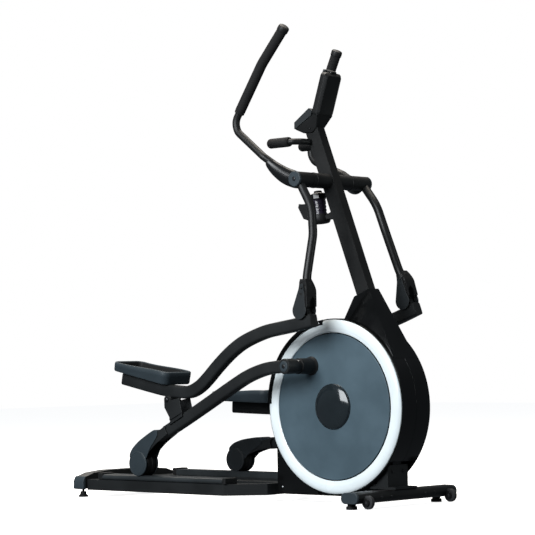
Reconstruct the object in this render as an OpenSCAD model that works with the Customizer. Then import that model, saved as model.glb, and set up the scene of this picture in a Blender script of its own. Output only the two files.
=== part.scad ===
// Front-drive elliptical trainer with two swinging handles and a rear roller track.
// +X is the way the user faces, +Y is the user's left and +Z is up.
// The origin is on the floor at the middle of the machine's outline.

/* [Drive] */
// Distance of the crank axis ahead of the origin
crank_x = 448.5; // [440:0.5:480]
// Height of the crank axis
crank_z = 357.6; // [350:0.1:370]
// Radius of the crank circle
crank_r = 181.5; // [170:0.5:190]
// Angle of the right crank pin behind straight ahead, at rest
crank_deg = 124.6; // [110:0.1:140]
// Radius of the crank discs
disc_r = 267; // [240:1:280]
// Outer face of each crank disc from the middle plane
disc_y = 85.3; // [80:0.1:90]
// Radius of the flywheel
flywheel_r = 105; // [90:1:112]

/* [Linkage] */
// Middle plane of the pedal and roller arms
arm_y = 210; // [206:1:214]
// Width of the arm tubes
arm_w = 38; // [30:1:42]
// Height of the roller arm tube
arm_h = 46; // [40:1:50]
// Height of the pedal arm tube
pedal_arm_h = 48; // [40:1:52]
// Height of the roller axles
roller_z = 138; // [136:1:142]
// Radius of the track rollers
roller_r = 46; // [40:0.5:46]
// Right roller axle behind the crank axis, at rest
roller_x_right = -872; // [-880:1:-860]
// Left roller axle behind the crank axis, at rest
roller_x_left = -747; // [-755:1:-740]

/* [Handles] */
// Height of the handle pivot
pivot_z = 1190; // [1180:1:1200]
// Handle pivot behind the crank axis
pivot_x = -67; // [-75:1:-60]
// Radius of the handle pivot tube
pivot_r = 28; // [25:0.5:32]
// Outer end of each handle sleeve from the middle plane
sleeve_y = 203; // [195:1:210]
// Tube radius of the lower handle
lower_tube_r = 16; // [14:0.5:18]
// Tube radius of the upper handle
upper_tube_r = 14; // [12:0.5:15]
// Radius of the foam grip
grip_r = 19.5; // [17:0.5:21]

/* [Mast and console] */
// Mast section along X
mast_l = 60; // [50:1:80]
// Mast section along Y
mast_w = 40; // [36:1:46]
// Mast lean towards the user
mast_lean = 21.1; // [18:0.1:24]
// Width of the console
console_w = 94; // [80:1:110]

/* [Base] */
// Length of the front foot tube
front_w = 566; // [540:2:600]
// Length of the rear foot tube
rear_w = 524; // [500:2:540]
// Outer face of the track frame from the middle plane
track_y = 238; // [234:1:242]

/* [Hidden] */

$fn = 64;
hull_fn = 32;
gap = 0.4;          // running clearance between bodies
cut = 1;            // overshoot of a cutting shape

// ---- linkage at rest, as [x, z] from the crank axis on the floor ----
crank_axis = [0, crank_z];
pin_right = crank_axis + crank_r * [cos(crank_deg), sin(crank_deg)];
pin_left = crank_axis - crank_r * [cos(crank_deg), sin(crank_deg)];
axle_right = [roller_x_right, roller_z];
axle_left = [roller_x_left, roller_z];
pivot = [pivot_x, pivot_z];
// pedal bracket pivot from the roller axle, along and above the line to the crank pin
bracket_along = 256.5;
bracket_above = 150.9;
// distance between the bracket pivot and the handle's lower pivot, and the handle's length
coupler_l = 760.5;
handle_l = 483.4;

function ang(v) = atan2(v[1], v[0]);
function turned(v, a) = [v[0] * cos(a) - v[1] * sin(a), v[0] * sin(a) + v[1] * cos(a)];
function bracket_at(axle, pin) =
    axle + turned([bracket_along, bracket_above], ang(pin - axle));
// lower of the two points that are coupler_l from q and handle_l from the handle pivot
function toggle_at(q) =
    let (d = pivot - q, l = norm(d), a = (coupler_l ^ 2 - handle_l ^ 2 + l ^ 2) / (2 * l),
         h = sqrt(coupler_l ^ 2 - a ^ 2), e = d / l)
    q + a * e + h * [e[1], -e[0]];
bracket_right = bracket_at(axle_right, pin_right);
bracket_left = bracket_at(axle_left, pin_left);
toggle_right = toggle_at(bracket_right);
toggle_left = toggle_at(bracket_left);
// turn of each part between the right and the left pose
arm_turn = ang(pin_left - axle_left) - ang(pin_right - axle_right);
coupler_turn = ang(toggle_left - bracket_left) - ang(toggle_right - bracket_right);
handle_turn = ang(toggle_left - pivot) - ang(toggle_right - pivot);

// ---- bands: an outline of even width along a smooth line through a few points ----
function on_curve(p, i, t) =
    let (n = len(p), a = p[max(i - 1, 0)], b = p[i], c = p[i + 1], d = p[min(i + 2, n - 1)])
    0.5 * (2 * b + (c - a) * t + (2 * a - 5 * b + 4 * c - d) * t * t
        + (3 * b - a - 3 * c + d) * t * t * t);
function curve(p, steps) =
    [for (i = [0:len(p) - 2]) for (k = [0:steps - 1]) on_curve(p, i, k / steps), p[len(p) - 1]];
function side_of(p, i) =
    let (a = p[max(i - 1, 0)], b = p[min(i + 1, len(p) - 1)], d = (b - a) / norm(b - a))
    [-d[1], d[0]];
module band(points, w, steps = 5) {
    line = curve(points, steps);
    n = len(line);
    polygon(concat(
        [for (i = [0:n - 1]) line[i] + side_of(line, i) * w / 2],
        [for (i = [n - 1:-1:0]) line[i] - side_of(line, i) * w / 2]));
}

// ---- placing ----
module from_crank() {
    translate([crank_x, 0, 0])
        children();
}
// extrudes an outline drawn in [x, z] between two planes of constant y
module slab(y0, y1) {
    translate([0, y1, 0])
        rotate([90, 0, 0])
            linear_extrude(y1 - y0)
                children();
}
// a round bar along Y at [x, z]
module bar(p, r, y0, y1) {
    translate([p[0], y1, p[1]])
        rotate([90, 0, 0])
            cylinder(r = r, h = y1 - y0);
}
// a round rod between two points
module rod(a, b, r) {
    d = b - a;
    translate(a)
        rotate([0, acos(d[2] / norm(d)), atan2(d[1], d[0])])
            cylinder(r = r, h = norm(d));
}
// a bent round tube through points, with an arc of radius bend at each inner point
module bent_rod(p, r, bend) {
    n = len(p);
    dir = [for (i = [0:n - 2]) (p[i + 1] - p[i]) / norm(p[i + 1] - p[i])];
    // angle of each bend, and how much of the straights it takes
    turn = [for (i = [0:n - 1]) i == 0 || i == n - 1 ? 0 : acos(dir[i - 1] * dir[i])];
    take = [for (a = turn) bend * tan(a / 2)];
    // the straights run a little way into the bends
    for (i = [0:n - 2])
        rod(p[i] + dir[i] * (take[i] - (i == 0 ? 0 : 0.5)),
            p[i + 1] - dir[i] * (take[i + 1] - (i == n - 2 ? 0 : 0.5)), r);
    for (i = [1:n - 2])
        arc_rod(p[i] - dir[i - 1] * take[i], dir[i - 1], dir[i], turn[i], r - 0.05, bend);
}
// one bend that starts at a point along direction d and ends along direction e
module arc_rod(from, d, e, turn, r, bend) {
    inward = (e - d * (d * e)) / norm(e - d * (d * e));
    c = from + inward * bend;
    x = -inward;
    z = cross(x, d);
    multmatrix([[x[0], d[0], z[0], c[0]], [x[1], d[1], z[1], c[1]], [x[2], d[2], z[2], c[2]]])
        rotate_extrude(angle = turn)
            translate([bend, 0])
                circle(r = r);
}
module box(x0, x1, y0, y1, z0, z1) {
    translate([x0, y0, z0])
        cube([x1 - x0, y1 - y0, z1 - z0]);
}
// the moving parts are drawn for the right side and mirrored to the left
module on_left() {
    mirror([0, 1, 0])
        children();
}
// turns about an axis along Y at [x, z], from +X towards +Z
module turn_at(p, a) {
    translate([p[0], 0, p[1]])
        rotate([0, -a, 0])
            translate([-p[0], 0, -p[1]])
                children();
}
module move_to(from, to) {
    translate([to[0] - from[0], 0, to[1] - from[1]])
        children();
}

// ---- base ----
beam_w = 60;
beam_z0 = 28;
beam_z1 = 70;
beam_end = 199.6;
track_in = 168;
track_z = 92;
bed_side_front = -415;
nose_x = -300;
nose_y = 120;
stab_x = 239;
stab_z = 42;
stab_l = 78;
stab_h = 40;
rear_x = -1190;
bed_back = rear_x + 27.2;
rail_back = -1074;

module track_bed_outline(inset) {
    polygon([
        [bed_back + inset, -track_y + inset], [bed_side_front - inset * 0.3, -track_y + inset],
        [nose_x - inset, -nose_y + inset * 0.4], [nose_x - inset, nose_y - inset * 0.4],
        [bed_side_front - inset * 0.3, track_y - inset], [bed_back + inset, track_y - inset]]);
}
module base_frame() {
    color("#1c1f22") from_crank() {
        difference() {
            union() {
                // wide track bed
                translate([0, 0, beam_z0])
                    linear_extrude(beam_z1 - beam_z0)
                        track_bed_outline(0);
                // middle beam to the front
                box(nose_x - cut, beam_end, -beam_w / 2, beam_w / 2, beam_z0, beam_z1);
            }
            // the bed is open between its sides, left and right of the middle beam
            for (s = [-1, 1])
                scale([1, s, 1])
                    translate([0, 0, beam_z0 - cut])
                        linear_extrude(beam_z1 - beam_z0 + 2 * cut)
                            polygon([
                                [bed_back + 90, beam_w / 2], [nose_x - 40, beam_w / 2],
                                [nose_x - 40, nose_y - 40], [bed_side_front - 20, track_in],
                                [bed_back + 90, track_in]]);
            // hollow of the middle beam
            box(nose_x + 20, beam_end - 3, -beam_w / 2 + 3, beam_w / 2 - 3,
                beam_z0 + 3, beam_z1 - 3);
            box(bed_back + 93, nose_x - 43, -beam_w / 2 + 3, beam_w / 2 - 3,
                beam_z0 + 3, beam_z1 - 3);
            // hollows of the side members and the rear member
            for (s = [-1, 1])
                scale([1, s, 1])
                    box(bed_back + 93, bed_side_front - 24, track_in + 3, track_y - 3,
                        beam_z0 + 3, beam_z1 - 3);
            box(bed_back + 3, bed_back + 87, -track_y + 3, track_y - 3,
                beam_z0 + 3, beam_z1 - 3);
        }
        front_upright();
    }
}
upright_y = 57;
// a point just under the mast's foot, u along it towards the front
function below_mast(u) = mast_foot + [
    u * cos(mast_lean) + 0.1 * sin(mast_lean),
    u * sin(mast_lean) - 0.1 * cos(mast_lean)];
module front_upright() {
    difference() {
        union() {
            // flange on the front foot tube
            box(150, 268, -62, 62, stab_z + stab_h / 2 + 0.1, 70);
            // wide lower box
            box(186, 230, -upright_y, upright_y, 70, 148);
            // column up to the mast
            slab(-24, 24)
                polygon([
                    [176, 147], [226, 147], below_mast(mast_l / 2), below_mast(-mast_l / 2)]);
            // side gussets
            for (y = [-upright_y, upright_y - 5])
                slab(y, y + 5)
                    polygon([[150, 70], [186.5, 70], [186.5, 128]]);
        }
        // hollow of the wide lower box
        box(190, 226, -upright_y + 4, upright_y - 4, 70 - cut, 144);
        // cable and bolt holes through the gussets
        bar([174, 84], 5, -80, 80);
    }
}
module track_rails() {
    color("#4b4f53") from_crank() for (s = [-1, 1])
        scale([1, s, 1])
            difference() {
                union() {
                    // running plate
                    box(rail_back, bed_side_front - 6, track_in + 2, track_y - 9,
                        beam_z1 + 0.1, track_z);
                    // rounded outer lip
                    translate([rail_back + 0.5, track_y - 9, 80.7])
                        rotate([0, 90, 0])
                            cylinder(r = 10.5, h = bed_side_front - rail_back - 7);
                }
                box(rail_back + 4, bed_side_front - 10, track_in + 6, track_y - 22,
                    beam_z1 + 3, track_z - 3);
            }
}
module rail_stops() {
    color("#0f1011") from_crank() for (s = [-1, 1]) scale([1, s, 1]) {
        box(bed_side_front - 5, bed_side_front + 12, track_in + 6, track_y + 2, beam_z1 + 0.2, 93);
        box(rail_back - 26, rail_back - 1, track_in + 6, track_y + 1, beam_z1 + 0.2, 97);
    }
}
module rear_stabilizer() {
    color("#1c1f22") from_crank()
        difference() {
            // cross tube, higher in the middle than at its ends
            translate([rear_x, 0, 0])
                rotate([90, 0, 90])
                    translate([0, 0, -27])
                        linear_extrude(54)
                            polygon([
                                [-rear_w / 2 + 14, 32], [-170, 46], [170, 46], [rear_w / 2 - 14, 32],
                                [rear_w / 2 - 14, 80], [200, 94], [120, 101], [-120, 101],
                                [-200, 94], [-rear_w / 2 + 14, 80]]);
            // hollow
            translate([rear_x, 0, 0])
                rotate([90, 0, 90])
                    translate([0, 0, -23])
                        linear_extrude(46)
                            polygon([
                                [-rear_w / 2 + 18, 36], [-170, 50], [170, 50], [rear_w / 2 - 18, 36],
                                [rear_w / 2 - 18, 76], [200, 90], [120, 97], [-120, 97],
                                [-200, 90], [-rear_w / 2 + 18, 76]]);
            // threaded holes for the levelling feet
            for (y = [-235, 235])
                translate([rear_x, y, 0])
                    cylinder(r = 5, h = 60);
        }
}
module front_stabilizer() {
    color("#1c1f22") from_crank()
        difference() {
            union() {
                stadium(-front_w / 2 + 12, front_w / 2 - 12, stab_l, stab_h);
                // ears that hold the wheels
                for (s = [-1, 1], y = [219, 243.6])
                    scale([1, s, 1])
                        slab(y, y + 5) {
                            translate([wheel_x, wheel_z])
                                circle(r = 13);
                            translate([wheel_x - 30, wheel_z - 4])
                                square([30, 20]);
                        }
            }
            difference() {
                stadium(-front_w / 2 + 11, front_w / 2 - 11, stab_l - 6, stab_h - 6);
                for (s = [-1, 1])
                    scale([1, s, 1])
                        box(240, 300, 219, 248.6, 0, 80);
            }
            for (s = [-1, 1])
                scale([1, s, 1]) {
                    // well and axle hole of the wheel
                    bar([wheel_x, wheel_z], wheel_r + 1.5, 224.5, 243);
                    bar([wheel_x, wheel_z], 5.1, 200, 260);
                }
        }
}
module stadium(y0, y1, l, h) {
    for (x = [stab_x - l / 2 + h / 2, stab_x + l / 2 - h / 2])
        bar([x, stab_z], h / 2, y0, y1);
    box(stab_x - l / 2 + h / 2, stab_x + l / 2 - h / 2, y0, y1, stab_z - h / 2, stab_z + h / 2);
}
wheel_x = 286;
wheel_z = 27;
wheel_r = 24;
module stabilizer_caps() {
    color("#39434c") from_crank() {
        for (s = [-1, 1]) scale([1, s, 1]) {
            // front cap
            stadium(front_w / 2 - 11.8, front_w / 2, stab_l, stab_h);
            // rear cap, tapering to the outside
            translate([rear_x, 0, 0])
                rotate([90, 0, 90])
                    translate([0, 0, -29])
                        linear_extrude(58)
                            polygon([
                                [rear_w / 2 - 13.6, 30], [rear_w / 2, 32], [rear_w / 2, 62],
                                [rear_w / 2 - 8, 78], [rear_w / 2 - 13.6, 83]]);
        }
    }
}
module front_feet() {
    color("#0c0d0e") from_crank() for (y = [-240, 240])
        translate([214, y, 0]) {
            cylinder(r = 20, h = 12);
            translate([0, 0, 12])
                cylinder(r = 15, h = 9.9);
        }
}
module rear_foot() {
    color("#0c0d0e") from_crank()
        translate([rear_x, -235, 0]) {
            cylinder(r = 19, h = 6);
            translate([0, 0, 6])
                cylinder(r1 = 19, r2 = 12, h = 6);
            translate([0, 0, 12])
                cylinder(r = 12, h = 10);
            translate([0, 0, 22])
                cylinder(r = 5 - gap, h = 34);
        }
}
module rear_foot_right() { rear_foot(); }
module rear_foot_left() { on_left() rear_foot(); }
module transport_wheels() {
    color("#17181a") from_crank() for (s = [-1, 1]) scale([1, s, 1])
        union() {
            bar([wheel_x, wheel_z], wheel_r, 226, 241.5);
            // stub axles
            bar([wheel_x, wheel_z], 4.7, 219, 248.6);
        }
}

// ---- drive inside the shroud ----
fly_c = [-150, 470];
pulley_r = 130;
fly_pulley_r = 20;
idler_r = 14;
belt_t = 2.5;
belt_y0 = 32;
belt_y1 = 44;
belt_line = fly_c - crank_axis;
belt_lean = ang(belt_line);
belt_wrap = acos((pulley_r - fly_pulley_r) / norm(belt_line));
belt_out = [cos(belt_lean - belt_wrap), sin(belt_lean - belt_wrap)];
// the idler rests on the outside of the belt's upper run
idler_c = crank_axis + pulley_r * belt_out + 38 * [belt_out[1] * -1, belt_out[0]]
    + (belt_t + idler_r + 0.7) * belt_out;
magnet_at = fly_c + (flywheel_r + 7) * [cos(130), sin(130)];
module crank_post() {
    color("#2a2d30") from_crank()
        difference() {
            union() {
                bar(crank_axis, 32, -50, 22);
                slab(-32, 8)
                    polygon([[-34, beam_z1 + 0.1], [34, beam_z1 + 0.1], [20, 340], [-20, 340]]);
                // arm that carries the flywheel
                slab(-44, -36)
                    polygon([[-20, 340], [10, 372], [-138, 490], [-164, 490], [-172, 455]]);
                // arm that carries the idler, and its axle
                slab(-44, -36)
                    polygon([[-16, 360], [18, 372], idler_c + [12, 10], idler_c + [-12, 10]]);
                bar(idler_c, 4, -40, belt_y1 + 3);
                // arm that carries the brake magnets
                slab(-44, -36)
                    polygon([[-164, 470], [-140, 490], magnet_at + [11, 9], magnet_at + [-9, -11]]);
            }
            bar(crank_axis, 23.5, -60, 60);
            bar(fly_c, 6, -60, 60);
        }
}
module crank_bearings() {
    color("#b9bcc0") from_crank() for (y = [-49.5, 9])
        difference() {
            bar(crank_axis, 23.4, y, y + 12);
            bar(crank_axis, 10.35, y - 1, y + 13);
        }
}
module flywheel_axle() {
    color("#c4c6c8") from_crank()
        bar(fly_c, 5.8, -52, 52);
}
module flywheel() {
    color("#6f757b") from_crank()
        difference() {
            union() {
                bar(fly_c, flywheel_r, 2, 26);
                bar(fly_c, fly_pulley_r, -28, 46);
            }
            bar(fly_c, 6.2, -60, 60);
            // thinner web
            difference() {
                bar(fly_c, flywheel_r - 20, 20, 30);
                bar(fly_c, 26, 19, 31);
            }
        }
}
module brake_magnet() {
    color("#3d4146") from_crank() {
        slab(-2, 30)
            magnet_outline(95, 165);
        // foot on its arm
        slab(-35.9, -1)
            magnet_outline(123, 137);
    }
}
module magnet_outline(a0, a1) {
    polygon([
        for (k = [0:7]) let (a = a0 + (a1 - a0) * k / 7)
            fly_c + (flywheel_r + 12) * [cos(a), sin(a)],
        for (k = [7:-1:0]) let (a = a0 + (a1 - a0) * k / 7)
            fly_c + (flywheel_r + 3) * [cos(a), sin(a)]]);
}
module idler_pulley() {
    color("#8c9095") from_crank()
        difference() {
            bar(idler_c, idler_r, belt_y0, belt_y1);
            bar(idler_c, 4.35, belt_y0 - 5, belt_y1 + 5);
        }
}
module drive_belt() {
    small = fly_pulley_r + 0.4;
    big = pulley_r + 0.4;
    color("#101010") from_crank()
        slab(belt_y0 + 1, belt_y1 - 1)
            difference() {
                belt_outline(big + belt_t, small + belt_t);
                belt_outline(big, small);
            }
}
module belt_outline(r0, r1) {
    polygon([
        for (k = [0:48]) let (a = belt_lean + belt_wrap + k * (360 - 2 * belt_wrap) / 48)
            crank_axis + r0 * [cos(a), sin(a)],
        for (k = [0:14]) let (a = belt_lean - belt_wrap + k * 2 * belt_wrap / 14)
            fly_c + r1 * [cos(a), sin(a)]]);
}

// ---- shroud ----
shroud_r = 322;
shroud_y = 78;
shell = 3;
ring_in = 270.5;
ring_out = 318;
module shroud_outline(r) {
    difference() {
        union() {
            translate(crank_axis)
                circle(r = r, $fn = 128);
            // rear skirt down to the base
            translate([-287 + (shroud_r - r), 36 + (shroud_r - r)])
                square([200, 200]);
        }
        // rounded lower corner of the skirt
        translate([-287, 36])
            difference() {
                translate([-50, -50])
                    square([68, 68]);
                translate([18, 18])
                    circle(r = 18 - (shroud_r - r) * 0.5);
            }
    }
}
module shroud_half() {
    color("#101214") from_crank()
        difference() {
            slab(-shroud_y, -0.2)
                shroud_outline(shroud_r);
            slab(-shroud_y + shell, cut)
                shroud_outline(shroud_r - shell);
            // opening for the crank hub
            bar(crank_axis, 40, -100, 0);
            // opening for the base beam and the front upright
            box(-320, -60, -beam_w / 2 - 3, 5, 20, beam_z1 + 4);
            box(-70, 320, -66, 5, 20, 76);
            box(140, 320, -62, 5, 60, 160);
            // opening for the mast
            lean_box(mast_l / 2 + 3, mast_w / 2 + 3, 380, 760);
        }
}
module shroud_right() { shroud_half(); }
module shroud_left() { on_left() shroud_half(); }
module trim_rings() {
    color("#eef3f5") from_crank() for (s = [-1, 1]) scale([1, s, 1])
        difference() {
            bar(crank_axis, ring_out, shroud_y + 0.1, 86.2, $fn = 128);
            bar(crank_axis, ring_in, shroud_y - cut, 90, $fn = 128);
        }
}

// ---- mast ----
mast_foot = [223.8, 440];
// a box along the leaning mast, from one height to another
module lean_box(hx, hy, z0, z1) {
    k = 1 / cos(mast_lean);
    translate([mast_foot[0], 0, mast_foot[1]])
        rotate([0, -mast_lean, 0])
            translate([-hx, -hy, (z0 - mast_foot[1]) * k])
                cube([2 * hx, 2 * hy, (z1 - z0) * k]);
}
module mast() {
    color("#1c1f22") from_crank()
        difference() {
            union() {
                lean_box(mast_l / 2, mast_w / 2, mast_foot[1], 1395);
                bar(pivot, pivot_r, -124, 124);
            }
            // hollow of the mast
            lean_box(mast_l / 2 - 2.5, mast_w / 2 - 2.5, mast_foot[1] - 40, 1392);
            bar(pivot, 10, -130, 130);
        }
}
module mast_boot() {
    color("#0c0d0f") from_crank()
        difference() {
            hull() {
                lean_box(mast_l / 2 + 8, mast_w / 2 + 8, 768, 772);
                translate([34, -66, 640])
                    cube([20, 132, 20]);
                translate([250, -66, 500])
                    cube([28, 132, 20]);
            }
            bar(crank_axis, shroud_r + 0.6, -100, 100, $fn = 128);
            lean_box(mast_l / 2 + 0.6, mast_w / 2 + 0.6, 380, 900);
            // the shell is hollow around the mast
            hull() {
                lean_box(mast_l / 2 + 4, mast_w / 2 + 4, 750, 754);
                translate([46, -62, 600])
                    cube([20, 124, 40]);
                translate([236, -62, 470])
                    cube([28, 124, 36]);
            }
        }
}
module pivot_shaft() {
    color("#9a9ea3") from_crank()
        bar(pivot, 9.8, -196, 196);
}

// ---- console ----
console_lean = 19;
console_t = 32;
key_slope = 33.3;
key_step = 28;
// local X through the display away from the user, local Z up the display
module console_frame() {
    translate([-79, 0, 1512])
        rotate([0, console_lean, 0])
            children();
}
// local X up the key panel towards the display, local Z out of it
module key_frame() {
    translate([-167.5, 0, 1443])
        rotate([0, -key_slope, 0])
            children();
}
module console_base() {
    color("#1a1f24") from_crank()
        difference() {
            slab(-console_w / 2, console_w / 2)
                polygon([
                    [-131, 1467], [-204, 1419], [-204, 1396], [-192, 1383], [-170, 1378],
                    [-126, 1378], [-104, 1400], [-89, 1434], [-113, 1456]]);
            // seat of the display box
            console_frame()
                translate([-console_t / 2 - 0.3, -console_w, -80.3])
                    cube([console_t + 0.6, 2 * console_w, 200]);
            // seat on the mast
            lean_box(mast_l / 2 + 0.3, mast_w / 2 + 0.3, 1300, 1412);
            // wells of the keys
            for (y = [-key_step, 0, key_step])
                key_frame()
                    translate([0, y, -6])
                        cylinder(r = 9, h = 10);
        }
}
module console_body() {
    color("#121416") from_crank()
        console_frame()
            difference() {
                hull() for (y = [-1, 1], z = [-66, 72])
                    translate([-console_t / 2, y * (console_w / 2 - 14), z])
                        rotate([0, 90, 0])
                            cylinder(r = 14, h = console_t, $fn = hull_fn);
                // recess of the display
                translate([-console_t / 2 - 2, -console_w / 2 + 8, -48])
                    cube([4, console_w - 16, 122]);
                // slot of the clamp's stem
                translate([-3.4, -8.4, 50])
                    cube([6.8, 16.8, 60]);
            }
}
module console_display() {
    color("#05070a") from_crank()
        console_frame()
            translate([-console_t / 2 - 0.4, -console_w / 2 + 8.3, -47.7])
                cube([2.2, console_w - 16.6, 121.4]);
}
module console_key(y) {
    color("#2c3136") from_crank()
        key_frame()
            translate([0, y, -3])
                cylinder(r = 8.4, h = 5.5);
}
module console_key_right() { console_key(-key_step); }
module console_key_middle() { console_key(0); }
module console_key_left() { console_key(key_step); }
module tablet_clamp() {
    color("#0c0d0e") from_crank()
        console_frame() {
            slab(-17, 17)
                polygon([
                    [8, 86.5], [8, 93], [-34, 93], [-36, 76], [-28, 76], [-28, 86.5]]);
            translate([-3, -8, 54])
                cube([6, 16, 34]);
        }
}

// ---- fixed handlebar and bottle ----
bar_z = 1343;
module fixed_handlebar() {
    color("#1c1f22") from_crank()
        difference() {
            for (s = [-1, 1]) scale([1, s, 1])
                bent_rod([[-146, 4, bar_z], [-158, 62, bar_z], [-180, 88, bar_z],
                    [-292, 88, bar_z]], 12, 20);
            lean_box(mast_l / 2 + 0.2, mast_w / 2 + 0.2, 1200, 1450);
        }
}
module fixed_grips() {
    color("#0e0f10") from_crank() for (s = [-1, 1]) scale([1, s, 1])
        difference() {
            rod([-297, 88, bar_z], [-190, 88, bar_z], 19);
            rod([-292.5, 88, bar_z], [-150, 88, bar_z], 12.1);
        }
}
bottle_x = -120;
bottle_z = 1038;
bottle_r = 28.5;
pocket_x = -188;
module bottle_frame() {
    translate([bottle_x, 0, bottle_z])
        rotate([0, -6, 0])
            children();
}
module bottle_holder() {
    color("#1a1d20") from_crank()
        difference() {
            union() {
                bottle_frame()
                    cylinder(r = bottle_r + 4.5, h = 66);
                // pocket behind the bottle
                slab(-26, 26)
                    polygon([
                        [bottle_x - 20, 1044], [pocket_x, 1056], [pocket_x - 40, 1120],
                        [bottle_x - 20, 1120]]);
                // arm to the mast
                box(-110, -20, -14, 14, 1062, 1092);
            }
            bottle_frame()
                translate([0, 0, 3])
                    cylinder(r = bottle_r + 0.8, h = 90);
            slab(-23, 23)
                polygon([
                    [bottle_x - 38, 1060], [pocket_x + 4, 1062], [pocket_x - 35, 1140],
                    [bottle_x - 38, 1140]]);
            lean_box(mast_l / 2 + 0.2, mast_w / 2 + 0.2, 900, 1300);
        }
}
module bottle() {
    color("#241f2b") from_crank()
        bottle_frame()
            translate([0, 0, 3.3])
                difference() {
                    union() {
                        cylinder(r = bottle_r, h = 96);
                        translate([0, 0, 96])
                            cylinder(r1 = bottle_r, r2 = 20, h = 12);
                    }
                    translate([0, 0, 3])
                        cylinder(r = bottle_r - 2, h = 92);
                }
}
module bottle_cap() {
    color("#0d0d0f") from_crank()
        bottle_frame()
            translate([0, 0, 111.4])
                cylinder(r = 25, h = 24, $fn = 12);
}

// ---- crank set ----
module crank_axle() {
    color("#b9bcc0") from_crank()
        bar(crank_axis, 10, -85.2, 85.2);
}
module drive_pulley() {
    color("#777b80") from_crank()
        difference() {
            union() {
                bar(crank_axis, pulley_r, belt_y0, belt_y1);
                bar(crank_axis, 24, 25, belt_y1 + 3);
            }
            bar(crank_axis, 10.1, 0, 60);
            for (k = [0:4])
                bar(crank_axis + 80 * [cos(72 * k), sin(72 * k)], 30, 0, 60);
        }
}
module disc_half() {
    color("#5a6872") from_crank()
        difference() {
            union() {
                bar(crank_axis, disc_r, -disc_y, -disc_y + 4, $fn = 128);
                bar(crank_axis, 30, -disc_y + 4 - cut, -54);
            }
            bar(crank_axis, 10.1, -100, 0);
        }
}
module disc_right() { disc_half(); }
module disc_left() { on_left() disc_half(); }
module crank_pin(p) {
    difference() {
        union() {
            bar(p, 29, -160, -disc_y - 0.1);
            bar(p, 25, -arm_y + 27 + gap, -160 + cut);
        }
        bar(p, 6, -arm_y + 20, -140);
    }
}
module crank_pins() {
    color("#0d0e0f") from_crank() {
        crank_pin(pin_right);
        on_left()
            crank_pin(pin_left);
    }
}
hub_r = 83;
module hub_caps() {
    color("#20262b") from_crank() for (s = [-1, 1]) scale([1, s, 1])
        translate([0, disc_y + 0.1, crank_z])
            rotate([-90, 0, 0])
                rotate_extrude()
                    // a shallow dome
                    polygon([[0, 0],
                        for (r = [hub_r:-hub_r / 12:0]) [r, sqrt(166 ^ 2 - r ^ 2) - 143]]);
}

// ---- track rollers ----
module roller_axle(p) {
    color("#b9bcc0") from_crank()
        bar(p, 7, -arm_y - 25.5, -arm_y + 34);
}
module roller(p) {
    color("#141517") from_crank()
        difference() {
            bar(p, roller_r - 0.3, -arm_y - 20, -arm_y + 26);
            bar(p, 7.3, -arm_y - 40, -arm_y + 40);
        }
}
module roller_axle_right() { roller_axle(axle_right); }
module roller_axle_left() { on_left() roller_axle(axle_left); }
module roller_right() { roller(axle_right); }
module roller_left() { on_left() roller(axle_left); }

// ---- roller arms ----
module roller_arm() {
    color("#2b3238") from_crank()
        difference() {
            union() {
                slab(-arm_y - arm_w / 2, -arm_y + arm_w / 2)
                    band([pin_right, [-165, 504], [-222, 496], [-294, 475], [-366, 443],
                        [-540, 356], [-648, 303], [-735, 262]], arm_h);
                bar(pin_right, 28, -arm_y - 27, -arm_y + 27);
                // fork legs down to the roller axle
                for (y = [-arm_y - 25.5, -arm_y + 26.5])
                    slab(y, y + 5)
                        band([[-722, 268], [-790, 226], axle_right + [16, 30], axle_right], 34, 3);
                for (y = [-arm_y - 25.5, -arm_y + 26.5])
                    bar(axle_right, 17, y, y + 5);
                slab(-arm_y - 25.5, -arm_y + 31.5)
                    band([[-722, 268], [-780, 234]], 34, 2);
                // pedal bracket
                bracket_plates();
            }
            // hollow of the arm
            slab(-arm_y - arm_w / 2 + 3, -arm_y + arm_w / 2 - 3)
                band([[-165, 504], [-222, 496], [-294, 475], [-366, 443], [-540, 356],
                    [-648, 303], [-735, 262]], arm_h - 6);
            bar(pin_right, 8, -arm_y - 30, -arm_y + 30);
            bar(axle_right, 7.35, -arm_y - 30, -arm_y + 34);
            bar(bracket_right, 6.35, -arm_y - 40, -arm_y + 40);
        }
}
module bracket_plates() {
    for (y = [-arm_y - 31, -arm_y + 26])
        slab(y, y + 5)
            polygon([
                [-659, 322], [-622, 336], [-640, 395],
                for (a = [0:20:180]) bracket_right + 15 * [cos(a - 10), sin(a - 10)],
                bracket_right + [-14, -30], [-694, 318]]);
    slab(-arm_y - 31, -arm_y + 31)
        polygon([[-700, 288], [-630, 322], [-632, 352], [-690, 330]]);
}
module roller_cover() {
    color("#3a4650") from_crank()
        difference() {
            union() {
                // guard over the roller, reaching up the arm
                slab(-arm_y - 28.5, -arm_y + 34.5)
                    polygon([
                        [-820, 165], [-765, 251], [-773, 266], [-840, 236], [-909, 191],
                        for (a = [140:10:190]) axle_right + 56 * [cos(a), sin(a)],
                        axle_right + [-44, -12], axle_right + [-20, 20]]);
                // round caps on both faces
                bar(axle_right, 45, -arm_y - 29.5, -arm_y - 26);
                bar(axle_right, 45, -arm_y + 34, -arm_y + 37.5);
            }
            bar(axle_right, 52, -arm_y - 25.8, -arm_y + 31.8);
            // room for the arm and its fork
            slab(-arm_y - 25.8, -arm_y + 31.8)
                band([[-640, 308], [-735, 262], [-790, 226], axle_right + [16, 30], axle_right],
                    arm_h + 3, 3);
        }
}
module roller_arm_right() { roller_arm(); }
module roller_cover_right() { roller_cover(); }
module to_left_arm() {
    on_left()
        move_to([0, 0], [crank_x, 0])
            move_to(axle_right, axle_left)
                turn_at(axle_right, arm_turn)
                    move_to([crank_x, 0], [0, 0])
                        children();
}
module roller_arm_left() { to_left_arm() roller_arm(); }
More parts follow.
